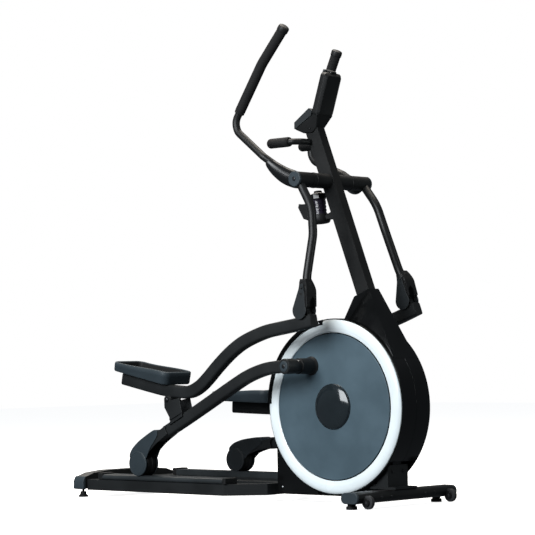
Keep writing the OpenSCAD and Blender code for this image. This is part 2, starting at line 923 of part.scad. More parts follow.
module roller_cover_left() { to_left_arm() roller_cover(); }

// ---- pedal arms ----
pedal_tilt = 11.5;
module pedal_arm() {
    color("#2b3238") from_crank()
        difference() {
            union() {
                slab(-arm_y - arm_w / 2, -arm_y + arm_w / 2)
                    band([[24, 672], [-60, 657], [-140, 646], [-218, 633], [-315, 602], [-388, 563],
                        [-458, 511], [-511, 466], [-556, 434], [-606, 415], [-664, 415],
                        [-754, 425], [-966, 467]], pedal_arm_h);
                // lug up to the handle's lower pivot
                slab(-arm_y - 12, -arm_y + 12)
                    polygon([
                        [-50, 662], [14, 672],
                        for (a = [0:20:180]) toggle_right + 15 * [cos(a), sin(a)]]);
                // boss and pin at the bracket pivot
                bar(bracket_right, 17, -arm_y - 25.5, -arm_y + 25.5);
                bar(bracket_right, 6, -arm_y - 34, -arm_y + 34);
            }
            // hollow of the arm
            slab(-arm_y - arm_w / 2 + 3, -arm_y + arm_w / 2 - 3)
                band([[-60, 657], [-140, 646], [-218, 633], [-315, 602], [-388, 563],
                    [-458, 511], [-511, 466], [-556, 434], [-606, 415], [-664, 415],
                    [-754, 425], [-900, 453.9]], pedal_arm_h - 7);
            bar(toggle_right, 6.2, -arm_y - 30, -arm_y + 30);
            // flat seat of the pedal
            pedal_frame()
                translate([-pedal_l / 2 - 4, -arm_y - 40, -0.2])
                    cube([pedal_l + 8, 80, 60]);
        }
}
module pedal_arm_right() { pedal_arm(); }
module to_left_pedal() {
    on_left()
        move_to([0, 0], [crank_x, 0])
            move_to(bracket_right, bracket_left)
                turn_at(bracket_right, coupler_turn)
                    move_to([crank_x, 0], [0, 0])
                        children();
}
module pedal_arm_left() { to_left_pedal() pedal_arm(); }

// pedal frame: local X forward along the tread, local Z up from its underside
module pedal_frame() {
    translate([-853, 0, 470])
        rotate([0, pedal_tilt, 0])
            children();
}
pedal_l = 300;
pedal_y0 = -256;
pedal_y1 = -100;
module pedal_outline(l, y0, y1, r) {
    hull() for (x = [-l / 2 + r, l / 2 - r], y = [y0 + r, y1 - r])
        translate([x, y])
            circle(r = r, $fn = hull_fn);
}
module pedal() {
    color("#2f363c") from_crank()
        pedal_frame()
            difference() {
                linear_extrude(42)
                    pedal_outline(pedal_l, pedal_y0, pedal_y1, 26);
                translate([0, 0, 8])
                    linear_extrude(40)
                        pedal_outline(pedal_l - 12, pedal_y0 + 6, pedal_y1 - 6, 21);
            }
}
module pedal_right() { pedal(); }
module pedal_left() { to_left_pedal() pedal(); }

// ---- handles ----
lower_line = [[-67, -182, 1190], [-16, -168, 1085], [-9, -170, 985], [-16, -200, 830],
    [-10, -205, 784]];
upper_line = [[-67, -165, 1190], [-128, -200, 1226], [-188, -236, 1278], [-313, -240, 1379],
    [-325, -240, 1418], [-185, -240, 1620], [-72, -240, 1743]];
grip_from = [-302.8, -240, 1450.1];
module swing_arm() {
    color("#1c1f22") from_crank()
        difference() {
            union() {
                bent_rod(lower_line, lower_tube_r, 90);
                bent_rod(upper_line, upper_tube_r, 45);
                bar(pivot, pivot_r, -sleeve_y, -124 - gap);
                // fork bridge and its two plates
                box(-26, 10, -arm_y - 26, -arm_y + 26, 772, 798);
                for (y = [-arm_y - 26, -arm_y + 21])
                    slab(y, y + 5)
                        polygon([
                            [-26, 772 + cut], toggle_right + [-20, 6],
                            for (a = [180:20:360]) toggle_right + 18 * [cos(a), sin(a)],
                            toggle_right + [20, 6], [10, 772 + cut]]);
            }
            bar(pivot, 10.1, -199, -100);
            bar(toggle_right, 6.2, -arm_y - 40, -arm_y + 40);
        }
}
module swing_arm_right() { swing_arm(); }
module to_left_swing() {
    on_left()
        move_to([0, 0], [crank_x, 0])
            turn_at(pivot, handle_turn)
                move_to([crank_x, 0], [0, 0])
                    children();
}
module swing_arm_left() { to_left_swing() swing_arm(); }
module handle_grip() {
    color("#0e0f10") from_crank()
        difference() {
            bent_rod([grip_from, [-185, -240, 1620], [-68.5, -240, 1746.8]], grip_r, 45);
            bent_rod([[-325, -240, 1418], [-185, -240, 1620], [-72, -240, 1743.1]],
                upper_tube_r + 0.15, 45);
        }
}
module handle_grip_right() { handle_grip(); }
module handle_grip_left() { to_left_swing() handle_grip(); }
module clevis_covers() {
    color("#3a4248") from_crank() {
        for (y = [[-arm_y - 29, -arm_y - 26.1], [-arm_y + 26.1, -arm_y + 29]])
            slab(y[0], y[1])
                hull() {
                    translate(toggle_right + [-4, -1])
                        circle(r = 32, $fn = hull_fn);
                    translate([-14, 802])
                        square([28, 8]);
                }
        }
}
module clevis_covers_right() { clevis_covers(); }
module clevis_covers_left() { to_left_swing() clevis_covers(); }

base_frame();
track_rails();
rail_stops();
rear_stabilizer();
front_stabilizer();
stabilizer_caps();
front_feet();
rear_foot_right();
rear_foot_left();
transport_wheels();
crank_post();
crank_bearings();
brake_magnet();
flywheel_axle();
drive_belt();
flywheel();
idler_pulley();
shroud_right();
shroud_left();
trim_rings();
mast_boot();
mast();
pivot_shaft();
console_base();
console_body();
console_display();
console_key_right();
console_key_middle();
console_key_left();
tablet_clamp();
fixed_handlebar();
fixed_grips();
bottle_holder();
bottle();
bottle_cap();
crank_axle();
drive_pulley();
disc_right();
disc_left();
crank_pins();
hub_caps();
roller_axle_right();
roller_axle_left();
roller_right();
roller_left();
roller_arm_right();
roller_arm_left();
roller_cover_right();
roller_cover_left();
pedal_arm_right();
pedal_arm_left();
pedal_right();
pedal_left();
swing_arm_right();
swing_arm_left();
handle_grip_right();
handle_grip_left();
clevis_covers_right();
clevis_covers_left();
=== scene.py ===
import math

import bmesh
import bpy
from mathutils import Euler, Matrix, Vector


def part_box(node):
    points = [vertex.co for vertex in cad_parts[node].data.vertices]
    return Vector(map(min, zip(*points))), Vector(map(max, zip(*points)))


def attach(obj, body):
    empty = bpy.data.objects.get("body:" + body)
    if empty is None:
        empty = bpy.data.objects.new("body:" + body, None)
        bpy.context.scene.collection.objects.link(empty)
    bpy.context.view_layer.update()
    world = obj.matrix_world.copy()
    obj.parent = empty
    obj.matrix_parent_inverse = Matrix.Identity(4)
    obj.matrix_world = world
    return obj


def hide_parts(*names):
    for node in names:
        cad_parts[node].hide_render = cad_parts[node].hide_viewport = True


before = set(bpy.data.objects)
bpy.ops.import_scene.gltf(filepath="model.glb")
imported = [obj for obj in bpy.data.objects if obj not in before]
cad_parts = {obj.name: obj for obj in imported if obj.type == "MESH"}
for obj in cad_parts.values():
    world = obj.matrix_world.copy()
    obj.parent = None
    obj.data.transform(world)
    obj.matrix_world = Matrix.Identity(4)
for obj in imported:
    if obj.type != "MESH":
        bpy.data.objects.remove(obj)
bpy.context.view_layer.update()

# ---------------------------------------------------------------- linkage at rest
# All sizes are millimetres from the crank axis along X, from the middle plane along Y and
# from the floor along Z. CRANK_X places the crank axis in the frame.
CRANK_X = (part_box("disc_right")[0].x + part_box("disc_right")[1].x) * 500.0
CRANK = (0.0, 357.6)
CRANK_R = 181.5
CRANK_DEG = 124.6
DISC_Y = 85.3
ARM_Y = 210.0
AXLE_R = (-872.0, 138.0)
AXLE_L = (-747.0, 138.0)
PIVOT = (-67.0, 1190.0)
RIGHT, LEFT = "right", "left"


def turned(v, a):
    return (v[0] * math.cos(a) - v[1] * math.sin(a), v[0] * math.sin(a) + v[1] * math.cos(a))


def ang(a, b):
    return math.atan2(b[1] - a[1], b[0] - a[0])


def plus(a, b):
    return (a[0] + b[0], a[1] + b[1])


BRACKET_ON_ARM = (256.5, 150.9)      # bracket pin seen from the roller axle, along the arm
COUPLER, HANDLE = 760.5, 483.4       # bracket pin to toggle, and toggle to handle pivot


def bracket_at(axle, pin):
    return plus(axle, turned(BRACKET_ON_ARM, ang(axle, pin)))


def toggle_at(q):
    d = (PIVOT[0] - q[0], PIVOT[1] - q[1])
    run = math.hypot(*d)
    a = (COUPLER ** 2 - HANDLE ** 2 + run ** 2) / (2 * run)
    h = math.sqrt(COUPLER ** 2 - a ** 2)
    e = (d[0] / run, d[1] / run)
    return (q[0] + a * e[0] + h * e[1], q[1] + a * e[1] - h * e[0])


PIN_R = plus(CRANK, turned((CRANK_R, 0), math.radians(CRANK_DEG)))
PIN_L = plus(CRANK, turned((-CRANK_R, 0), math.radians(CRANK_DEG)))
BRACKET_R, BRACKET_L = bracket_at(AXLE_R, PIN_R), bracket_at(AXLE_L, PIN_L)
TOGGLE_R, TOGGLE_L = toggle_at(BRACKET_R), toggle_at(BRACKET_L)
ARM_TURN = ang(AXLE_L, PIN_L) - ang(AXLE_R, PIN_R)
PEDAL_TURN = ang(BRACKET_L, TOGGLE_L) - ang(BRACKET_R, TOGGLE_R)
HANDLE_TURN = ang(PIVOT, TOGGLE_L) - ang(PIVOT, TOGGLE_R)


MIRROR = Matrix.Scale(-1, 4, (0, 1, 0))


def move_xz(a, b, turn):
    """The map that turns about a in the X-Z plane, moves a to b and mirrors to the other side."""
    return (MIRROR @ Matrix.Translation((b[0], 0, b[1]))
            @ Matrix.Rotation(-turn, 4, "Y") @ Matrix.Translation((-a[0], 0, -a[1])))


# body of a moving part on each side, and how the right side's shape reaches the left side
SIDES = {
    "frame": (("frame", "frame"), MIRROR),
    "crank": (("crank", "crank"), move_xz(CRANK, CRANK, math.pi)),
    "roller": (("right_roller", "left_roller"), move_xz(AXLE_R, AXLE_L, 0)),
    "arm": (("right_roller_arm", "left_roller_arm"), move_xz(AXLE_R, AXLE_L, ARM_TURN)),
    "pedal": (("right_pedal_arm", "left_pedal_arm"), move_xz(BRACKET_R, BRACKET_L, PEDAL_TURN)),
    "swing": (("right_swing_arm", "left_swing_arm"), move_xz(PIVOT, PIVOT, HANDLE_TURN)),
    "foot": (("rear_foot_right", "rear_foot_left"), MIRROR),
    "bottle": (("bottle", "bottle"), MIRROR),
    "clamp": (("clamp", "clamp"), MIRROR),
}
TO_FRAME = Matrix.Translation((CRANK_X / 1000, 0, 0)) @ Matrix.Scale(0.001, 4)

# ---------------------------------------------------------------- materials
FINISHES = {
    # name: base colour, roughness, metallic, coat, grain per metre, grain strength, tone change
    "paint": ((0.0074, 0.0078, 0.0080), 0.44, 0.0, 0.05, 900, 0.10, 0.22),
    "arm_paint": ((0.0120, 0.0134, 0.0142), 0.46, 0.0, 0.05, 900, 0.10, 0.20),
    "shell": ((0.0035, 0.0038, 0.0040), 0.12, 0.0, 0.0, 60, 0.02, 0.30),
    "satin": ((0.0070, 0.0078, 0.0084), 0.27, 0.0, 0.0, 900, 0.05, 0.20),
    "ring": ((0.86, 0.93, 0.95), 0.22, 0.0, 0.20, 40, 0.012, 0.04),
    "disc": ((0.078, 0.121, 0.150), 0.40, 0.15, 0.05, 1300, 0.04, 0.10),
    "hub": ((0.016, 0.022, 0.026), 0.12, 0.1, 0.5, 30, 0.01, 0.20),
    "foam": ((0.0075, 0.0075, 0.0080), 0.75, 0.0, 0.0, 1600, 0.30, 0.30),
    "rubber": ((0.0080, 0.0080, 0.0080), 0.60, 0.0, 0.0, 700, 0.20, 0.30),
    "steel": ((0.45, 0.46, 0.47), 0.26, 1.0, 0.0, 1500, 0.05, 0.10),
    "cast": ((0.16, 0.17, 0.18), 0.42, 0.9, 0.0, 500, 0.15, 0.20),
    "plastic": ((0.0085, 0.0090, 0.0094), 0.46, 0.0, 0.0, 2200, 0.14, 0.20),
    "slate": ((0.030, 0.041, 0.049), 0.46, 0.0, 0.03, 2200, 0.12, 0.12),
    "slate_dark": ((0.0170, 0.0205, 0.0230), 0.46, 0.0, 0.03, 2200, 0.12, 0.14),
    "rail": ((0.0300, 0.0350, 0.0380), 0.42, 0.2, 0.05, 500, 0.04, 0.15),
    "screen": ((0.003, 0.004, 0.005), 0.07, 0.0, 0.6, 20, 0.0, 0.30),
    "bottle": ((0.020, 0.016, 0.030), 0.25, 0.0, 0.4, 80, 0.03, 0.30),
    "holder": ((0.055, 0.060, 0.064), 0.46, 0.0, 0.05, 1800, 0.12, 0.18),
    "tread": ((0.0060, 0.0066, 0.0070), 0.66, 0.0, 0.0, 2000, 0.30, 0.25),
    "wheel": ((0.035, 0.036, 0.038), 0.45, 0.0, 0.0, 900, 0.10, 0.15),
    "bolt": ((0.030, 0.031, 0.033), 0.36, 0.7, 0.0, 1200, 0.06, 0.20),
}
materials = {}


def node(tree, kind, values=(), **settings):
    made = tree.nodes.new(kind)
    for key, value in settings.items():
        setattr(made, key, value)
    for key, value in dict(values).items():
        made.inputs[key].default_value = value
    return made


def make_material(name):
    """Moulded or painted surface: two close tones in large soft patches, a roughness that
    wanders with them and a fine grain."""
    colour, rough, metal, coat, grain, strength, change = FINISHES[name]
    m = bpy.data.materials.new("mat_" + name)
    m.use_nodes = True
    t = m.node_tree
    shader = t.nodes["Principled BSDF"]
    shader.inputs["Metallic"].default_value = metal
    shader.inputs["Coat Weight"].default_value = coat
    shader.inputs["Specular IOR Level"].default_value = 0.28 if rough > 0.4 else 0.4
    shader.inputs["Coat Roughness"].default_value = 0.08 if rough < 0.3 else 0.28
    link = t.links.new
    where = node(t, "ShaderNodeTexCoord")
    patch = node(t, "ShaderNodeTexNoise", {"Scale": 7.0, "Detail": 4.0, "Roughness": 0.55})
    link(where.outputs["Object"], patch.inputs["Vector"])
    tone = node(t, "ShaderNodeValToRGB")
    tone.color_ramp.elements[0].position = 0.35
    tone.color_ramp.elements[1].position = 0.68
    tone.color_ramp.elements[0].color = [c * (1 - change) for c in colour] + [1]
    tone.color_ramp.elements[1].color = [min(1, c * (1 + change)) for c in colour] + [1]
    link(patch.outputs["Fac"], tone.inputs["Fac"])
    link(tone.outputs["Color"], shader.inputs["Base Color"])
    fine = node(t, "ShaderNodeTexNoise", {"Scale": float(grain), "Detail": 3.0, "Roughness": 0.6})
    link(where.outputs["Object"], fine.inputs["Vector"])
    wander = node(t, "ShaderNodeMapRange", {"From Min": 0.3, "From Max": 0.7,
                  "To Min": max(0.04, rough - 0.06), "To Max": rough + 0.07})
    link(patch.outputs["Fac"], wander.inputs["Value"])
    link(wander.outputs["Result"], shader.inputs["Roughness"])
    if strength:
        bump = node(t, "ShaderNodeBump", {"Strength": strength, "Distance": 0.0004})
        link(fine.outputs["Fac"], bump.inputs["Height"])
        link(bump.outputs["Normal"], shader.inputs["Normal"])
    materials[name] = m
    return m


for finish in FINISHES:
    make_material(finish)


def ribbed(name, base, axis, step, depth):
    """A copy of a finish with fine parallel ribs across one axis."""
    m = materials[base].copy()
    m.name = "mat_" + name
    t = m.node_tree
    shader = t.nodes["Principled BSDF"]
    where = next(n for n in t.nodes if n.type == "TEX_COORD")
    wave = node(t, "ShaderNodeTexWave", {"Scale": 1 / step, "Distortion": 0.0},
                wave_type="BANDS", bands_direction=axis)
    t.links.new(where.outputs["Object"], wave.inputs["Vector"])
    old = shader.inputs["Normal"].links[0].from_node
    bump = node(t, "ShaderNodeBump", {"Strength": 0.8, "Distance": depth})
    t.links.new(wave.outputs["Fac"], bump.inputs["Height"])
    t.links.new(old.outputs["Normal"], bump.inputs["Normal"])
    t.links.new(bump.outputs["Normal"], shader.inputs["Normal"])
    materials[name] = m


ribbed("grip_foam", "foam", "Z", 0.02, 0.0003)

# ---------------------------------------------------------------- meshes

def smooth(o, degrees=32):
    mesh = o.data
    mesh.polygons.foreach_set("use_smooth", [True] * len(mesh.polygons))
    mesh.set_sharp_from_angle(angle=math.radians(degrees))


def bevel(o, width, segments=2, degrees=32):
    mod = o.modifiers.new("edge", "BEVEL")
    mod.width = width / 1000
    mod.segments = segments
    mod.limit_method = "ANGLE"
    mod.angle_limit = math.radians(degrees)
    mod.harden_normals = True
    return o


def piece(name, kind, finish, verts, faces, slot=None, edge=0.0, side=RIGHT, soft=32, segments=2):
    """A piece of the right or the left side, from points in millimetres drawn on the right."""
    bodies, to_left = SIDES[kind]
    place = TO_FRAME @ to_left if side == LEFT else TO_FRAME
    mesh = bpy.data.meshes.new(name)
    mesh.from_pydata([place @ Vector(v) for v in verts], [], faces)
    bm = bmesh.new()
    bm.from_mesh(mesh)
    bmesh.ops.remove_doubles(bm, verts=bm.verts, dist=1e-6)
    bmesh.ops.recalc_face_normals(bm, faces=bm.faces)
    bm.to_mesh(mesh)
    bm.free()
    mesh.materials.append(materials[finish])
    o = bpy.data.objects.new(name, mesh)
    bpy.context.scene.collection.objects.link(o)
    if edge:
        bevel(o, edge, segments, soft)
    smooth(o, soft)
    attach(o, bodies[1] if side == LEFT else bodies[0])
    return o


def both(name, kind, finish, shape, slot=None, cad=(), **k):
    """The same shape on both sides, each standing for that side's CAD nodes."""
    verts, faces = shape
    for side in (RIGHT, LEFT):
        o = piece(f"{name}_{side}", kind, finish, verts, faces, slot, side=side, **k)
        if cad:
            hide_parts(*[f"{c}_{side}" for c in cad])


def joined(*shapes):
    """Several shapes as one."""
    verts, faces = [], []
    for v, f in shapes:
        n = len(verts)
        verts += list(v)
        faces += [[i + n for i in face] for face in f]
    return verts, faces


def prism(outline, y0, y1):
    """An outline in X and Z between two planes across Y."""
    n = len(outline)
    verts = [(x, y0, z) for x, z in outline] + [(x, y1, z) for x, z in outline]
    faces = [list(range(n)), list(range(2 * n - 1, n - 1, -1))]
    faces += [[i, (i + 1) % n, n + (i + 1) % n, n + i] for i in range(n)]
    return verts, faces


def lathe(centre, along, profile, segments=64, closed=False):
    """A profile of (distance along the axis, radius) turned about an axis through centre."""
    along = Vector(along).normalized()
    u = along.orthogonal().normalized()
    w = along.cross(u)
    verts = []
    for a, r in profile:
        for k in range(segments):
            q = 2 * math.pi * k / segments
            verts.append(Vector(centre) + along * a + (u * math.cos(q) + w * math.sin(q)) * r)
    rows = len(profile)
    faces = loft_faces(rows, segments, closed)
    if not closed:
        faces.append(list(range(segments)))
        faces.append([(rows - 1) * segments + k for k in range(segments)][::-1])
    return [tuple(v) for v in verts], faces


def smooth_line(points, steps):
    """The even curve through points that the arms follow."""
    out = []
    n = len(points)
    for i in range(n - 1):
        a, b = points[max(i - 1, 0)], points[i]
        c, d = points[i + 1], points[min(i + 2, n - 1)]
        for k in range(steps):
            t = k / steps
            out.append(tuple(
                0.5 * (2 * b[q] + (c[q] - a[q]) * t
                       + (2 * a[q] - 5 * b[q] + 4 * c[q] - d[q]) * t * t
                       + (3 * b[q] - a[q] - 3 * c[q] + d[q]) * t ** 3) for q in range(len(b))))
    out.append(tuple(points[-1]))
    return out


def round_rect(w, h, r, steps=5):
    """Corner-rounded rectangle, as (across, up) pairs."""
    out = []
    for cx, cy, a0 in ((w / 2 - r, h / 2 - r, 0), (-w / 2 + r, h / 2 - r, 90),
                       (-w / 2 + r, -h / 2 + r, 180), (w / 2 - r, -h / 2 + r, 270)):
        for k in range(steps + 1):
            a = math.radians(a0 + 90 * k / steps)
            out.append((cx + r * math.cos(a), cy + r * math.sin(a)))
    return out


def loft_faces(rings, m, closed=False):
    """The walls between rings of m points each."""
    return [[i * m + k, i * m + (k + 1) % m, j * m + (k + 1) % m, j * m + k]
            for i, j in ((i, (i + 1) % rings) for i in range(rings if closed else rings - 1))
            for k in range(m)]


def stacked(rings):
    """A closed solid through rings of points."""
    m = len(rings[0])
    faces = loft_faces(len(rings), m)
    faces += [list(range(m))[::-1], [(len(rings) - 1) * m + k for k in range(m)]]
    return [q for ring in rings for q in ring], faces


def swept(line, section):
    """A section swept along points in X, Y and Z. section(i, share) gives (across, up) pairs."""
    points = [Vector(p) for p in line]
    n = len(points)
    verts = []
    m = 0
    for i, p in enumerate(points):
        d = (points[min(i + 1, n - 1)] - points[max(i - 1, 0)]).normalized()
        across_dir = Vector((0, 1, 0)) - d * d.y
        across_dir.normalize()
        up = across_dir.cross(d)
        ring = section(i, i / (n - 1))
        m = len(ring)
        verts += [tuple(p + across_dir * a + up * b) for a, b in ring]
    faces = loft_faces(n, m)
    faces.append(list(range(m)))
    faces.append([(n - 1) * m + k for k in range(m)][::-1])
    return verts, faces


def bent(points, radius, arc_steps=10, gap=12.0):
    """Points along a line of straights joined by round bends."""
    corner = [Vector(q) for q in points]
    out = [corner[0]]
    for i in range(1, len(corner) - 1):
        a, b = (corner[i] - corner[i - 1]).normalized(), (corner[i + 1] - corner[i]).normalized()
        turn = a.angle(b)
        take = radius * math.tan(turn / 2)
        begin, side = corner[i] - a * take, (b - a * a.dot(b)).normalized()
        n = max(1, int((begin - out[-1]).length / gap))
        out += [out[-1].lerp(begin, k / n) for k in range(1, n + 1)]
        out += [begin + a * radius * math.sin(turn * k / arc_steps)
                + side * radius * (1 - math.cos(turn * k / arc_steps))
                for k in range(1, arc_steps + 1)]
    n = max(1, int((corner[-1] - out[-1]).length / gap))
    start = out[-1]
    out += [start.lerp(corner[-1], k / n) for k in range(1, n + 1)]
    return out


def tube(points, r, radius, n=40):
    """A round tube of radius r, bent with the given radius."""
    ring = circle(r, n)
    return swept(bent(points, radius), lambda i, s: ring)


def circle(r, n=32):
    return [(r * math.cos(2 * math.pi * k / n), r * math.sin(2 * math.pi * k / n))
            for k in range(n)]


def bolt(centre, along, r, h=3.0):
    """A button head with a round socket."""
    return lathe(centre, along, [(-1, r), (0, r), (h * 0.45, r * 0.94), (h * 0.85, r * 0.72),
                                 (h, r * 0.5), (h * 0.95, r * 0.42), (h * 0.3, r * 0.38)], 24)


def washer_bolt(centre, along, r):
    ring = lathe(centre, along, [(0, r * 1.5), (1.2, r * 1.5), (1.6, r * 1.4), (1.6, r * 0.9)], 32)
    return joined(ring, bolt(Vector(centre) + Vector(along).normalized() * 1.4, along, r))


def arc(centre, r, a0, a1, n):
    return [(centre[0] + r * math.cos(math.radians(a0 + (a1 - a0) * k / n)),
             centre[1] + r * math.sin(math.radians(a0 + (a1 - a0) * k / n)))
            for k in range(n + 1)]


# ---------------------------------------------------------------- CAD nodes that stay
STAY = {
    "base_frame": ("arm_paint", 2.2), "track_rails": ("rail", 1.5), "rail_stops": ("plastic", 2.5),
    "rear_stabilizer": ("paint", 3.0), "front_stabilizer": ("paint", 0.8),
    "stabilizer_caps": ("slate", 2.5), "front_feet": ("rubber", 1.5),
    "rear_foot_right": ("rubber", 1.0), "rear_foot_left": ("rubber", 1.0),
    "transport_wheels": ("wheel", 2.0), "crank_post": ("paint", 0.8),
    "crank_bearings": ("steel", 0.4), "brake_magnet": ("cast", 0.5),
    "flywheel_axle": ("steel", 0.4), "drive_belt": ("rubber", 0.0), "flywheel": ("cast", 1.0),
    "idler_pulley": ("steel", 0.5), "shroud_right": ("shell", 1.2), "shroud_left": ("shell", 1.2),
    "mast_boot": ("shell", 5.0), "mast": ("paint", 8.0), "pivot_shaft": ("steel", 0.5),
    "console_display": ("screen", 0.4), "console_key_right": ("slate", 1.0),
    "console_key_middle": ("slate", 1.0), "console_key_left": ("slate", 1.0),
    "crank_axle": ("steel", 0.5), "drive_pulley": ("cast", 0.6), "disc_right": ("disc", 1.2),
    "disc_left": ("disc", 1.2), "crank_pins": ("plastic", 1.2),
    "roller_axle_right": ("steel", 0.5), "roller_axle_left": ("steel", 0.5),
}
for name, (finish, edge) in STAY.items():
    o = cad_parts[name]
    o.data.materials.clear()
    o.data.materials.append(materials[finish])
    if "custom_normal" in o.data.attributes:
        o.data.attributes.remove(o.data.attributes["custom_normal"])
    weld = o.modifiers.new("weld", "WELD")
    weld.merge_threshold = 2e-5
    if edge:
        flat = o.modifiers.new("flat", "DECIMATE")
        flat.decimate_type = "DISSOLVE"
        flat.angle_limit = math.radians(0.6)
        bevel(o, edge)
    o.data.polygons.foreach_set("use_smooth", [True] * len(o.data.polygons))
    if not edge:
        keep = o.modifiers.new("keep", "EDGE_SPLIT")
        keep.split_angle = math.radians(32)

# ---------------------------------------------------------------- arms
ARM_W = 38
ROLLER_LINE = [PIN_R, (-165, 504), (-222, 496), (-294, 475), (-366, 443), (-540, 356),
               (-648, 303), (-735, 262)]
PEDAL_LINE = [(24, 672), (-60, 657), (-140, 646), (-218, 633), (-315, 602), (-388, 563),
              (-458, 511), (-511, 466), (-556, 434), (-606, 415), (-664, 415), (-754, 425),
              (-966, 467)]


def arm_tube(line, height):
    points = [(x, -ARM_Y, z) for x, z in smooth_line(line, 7)]
    ring = round_rect(ARM_W, height, 8.5)
    return swept(points, lambda i, s: ring)


FORK_HALF = 17


def fork_plate(y0, y1):
    """One cheek of the fork that holds the roller."""
    line = smooth_line([(-722, 268), (-790, 226), plus(AXLE_R, (16, 30)), AXLE_R], 5)
    outline = []
    for sign in (1, -1):
        part = []
        for i, p in enumerate(line):
            a, b = line[max(i - 1, 0)], line[min(i + 1, len(line) - 1)]
            n = math.hypot(b[0] - a[0], b[1] - a[1])
            part.append((p[0] - sign * (b[1] - a[1]) / n * FORK_HALF,
                         p[1] + sign * (b[0] - a[0]) / n * FORK_HALF))
        outline += part if sign == 1 else part[::-1]
    return prism(outline, y0, y1)


both("roller_arm_tube", "arm", "arm_paint", arm_tube(ROLLER_LINE, 46), "arm_paint", ("roller_arm",))
fork = joined(fork_plate(-ARM_Y - 25.5, -ARM_Y - 20.5), fork_plate(-ARM_Y + 26.5, -ARM_Y + 31.5),
              lathe((AXLE_R[0], -ARM_Y - 25.5, AXLE_R[1]), (0, 1, 0), [(0, 17), (5, 17)], 40),
              lathe((AXLE_R[0], -ARM_Y + 26.5, AXLE_R[1]), (0, 1, 0), [(0, 17), (5, 17)], 40))
both("roller_fork", "arm", "arm_paint", fork, "arm_paint", edge=0.8)
web = prism([(-722, 286), (-728, 250), (-776, 222), (-784, 246)], -ARM_Y - 25, -ARM_Y + 31)
both("roller_fork_web", "arm", "arm_paint", web, "arm_paint", edge=3.0)
hub = lathe((PIN_R[0], -ARM_Y + 26.8, PIN_R[1]), (0, -1, 0), [
    (0, 25), (1.5, 28), (50.5, 28), (52.0, 27.4), (53.6, 25.6), (53.6, 20.5), (52.6, 20),
    (52.6, 8.2), (20, 8.2)], 72)
both("crank_hub", "arm", "arm_paint", hub, "arm_paint", soft=25)
both("crank_hub_cap", "arm", "slate", lathe(
    (PIN_R[0], -ARM_Y - 26.2, PIN_R[1]), (0, -1, 0),
    [(0, 19.6), (0.9, 19.6), (1.6, 19), (2.0, 17.6), (2.2, 9.6), (1.6, 9.2), (1.6, 8.4)], 56),
    "plastic_slate", soft=25)
both("crank_hub_bolt", "arm", "bolt", bolt((PIN_R[0], -ARM_Y - 27.6, PIN_R[1]), (0, -1, 0), 8),
     "steel")

plates = []
for y in (-ARM_Y - 31, -ARM_Y + 26):
    outline = [(-659, 322), (-626, 337), (-640, 392)]
    outline += [plus(BRACKET_R, turned((15.5, 0), math.radians(a - 10))) for a in range(0, 181, 12)]
    outline += [plus(BRACKET_R, (-14, -30)), (-694, 318), (-694, 306)]
    plates.append(prism(outline, y, y + 5))
both("bracket_plates", "arm", "arm_paint", joined(*plates), "arm_paint", edge=1.2)
web = prism([(-700, 288), (-630, 322), (-632, 352), (-690, 330)], -ARM_Y - 26, -ARM_Y + 26)
both("bracket_web", "arm", "arm_paint", web, "arm_paint", edge=1.5)

both("pedal_arm_tube", "pedal", "arm_paint", arm_tube(PEDAL_LINE, 48), "arm_paint", ("pedal_arm",))
lug = [(-50, 662), (14, 672)]
lug += [plus(TOGGLE_R, turned((15, 0), math.radians(a))) for a in range(0, 181, 12)]
both("handle_lug", "pedal", "arm_paint", prism(lug, -ARM_Y - 12, -ARM_Y + 12), "arm_paint",
     edge=2.0)
boss = lathe((BRACKET_R[0], -ARM_Y - 25.5, BRACKET_R[1]), (0, 1, 0),
             [(0, 15.5), (1.5, 17), (49.5, 17), (51, 15.5)], 48)
pin = lathe((BRACKET_R[0], -ARM_Y - 34, BRACKET_R[1]), (0, 1, 0), [(0, 6), (68, 6)], 32)
both("bracket_boss", "pedal", "arm_paint", boss, "arm_paint", soft=25)
both("bracket_pin", "pedal", "bolt", joined(
    pin, bolt((BRACKET_R[0], -ARM_Y - 33.5, BRACKET_R[1]), (0, -1, 0), 9.5, 4),
    bolt((BRACKET_R[0], -ARM_Y + 33.5, BRACKET_R[1]), (0, 1, 0), 9.5, 4)), "steel", soft=25)

# ---------------------------------------------------------------- rollers and covers
RY = -ARM_Y - 20
tread = [(0, 38), (1.5, 43), (4, 45.1), (8, 45.7), (19, 45.7), (20, 44.6), (26, 44.6), (27, 45.7),
         (38, 45.7), (42, 45.1), (44.5, 43), (46, 38), (46, 31), (43, 29.5), (43, 11.5), (46, 11),
         (46, 7.4), (0, 7.4), (0, 11), (3, 11.5), (3, 29.5), (0, 31)]
both("track_roller", "roller", "rubber",
     lathe((AXLE_R[0], RY, AXLE_R[1]), (0, 1, 0), tread, 80, closed=True), "rubber_black",
     ("roller",), soft=25)
guard = smooth_line([(-826, 160), (-806, 196), (-776, 232), (-764, 250), (-765, 260)], 4)
guard += smooth_line([(-773, 267), (-788, 266), (-830, 245), (-868, 223), (-900, 198),
                      (-915, 178)], 4)
guard += [(-918, 168), (-914, 158), (-890, 150), (-850, 148)]
both("roller_guard", "arm", "slate", prism(guard, -ARM_Y - 28.6, -ARM_Y - 26.0), "plastic_slate",
     edge=1.1)
# the inner guard is a darker copy of the same slate plastic: painted shade on the side that faces the
# machine's middle
both("roller_guard_inner", "arm", "slate_dark", prism(guard, -ARM_Y + 31.7, -ARM_Y + 34.3),
     "plastic_slate", edge=1.1)
shell_line = smooth_line([(-764, 262), (-773, 268), (-788, 267), (-830, 246), (-868, 224),
                          (-900, 199), (-916, 178), (-919, 166), (-916, 156)], 5)
inner = []
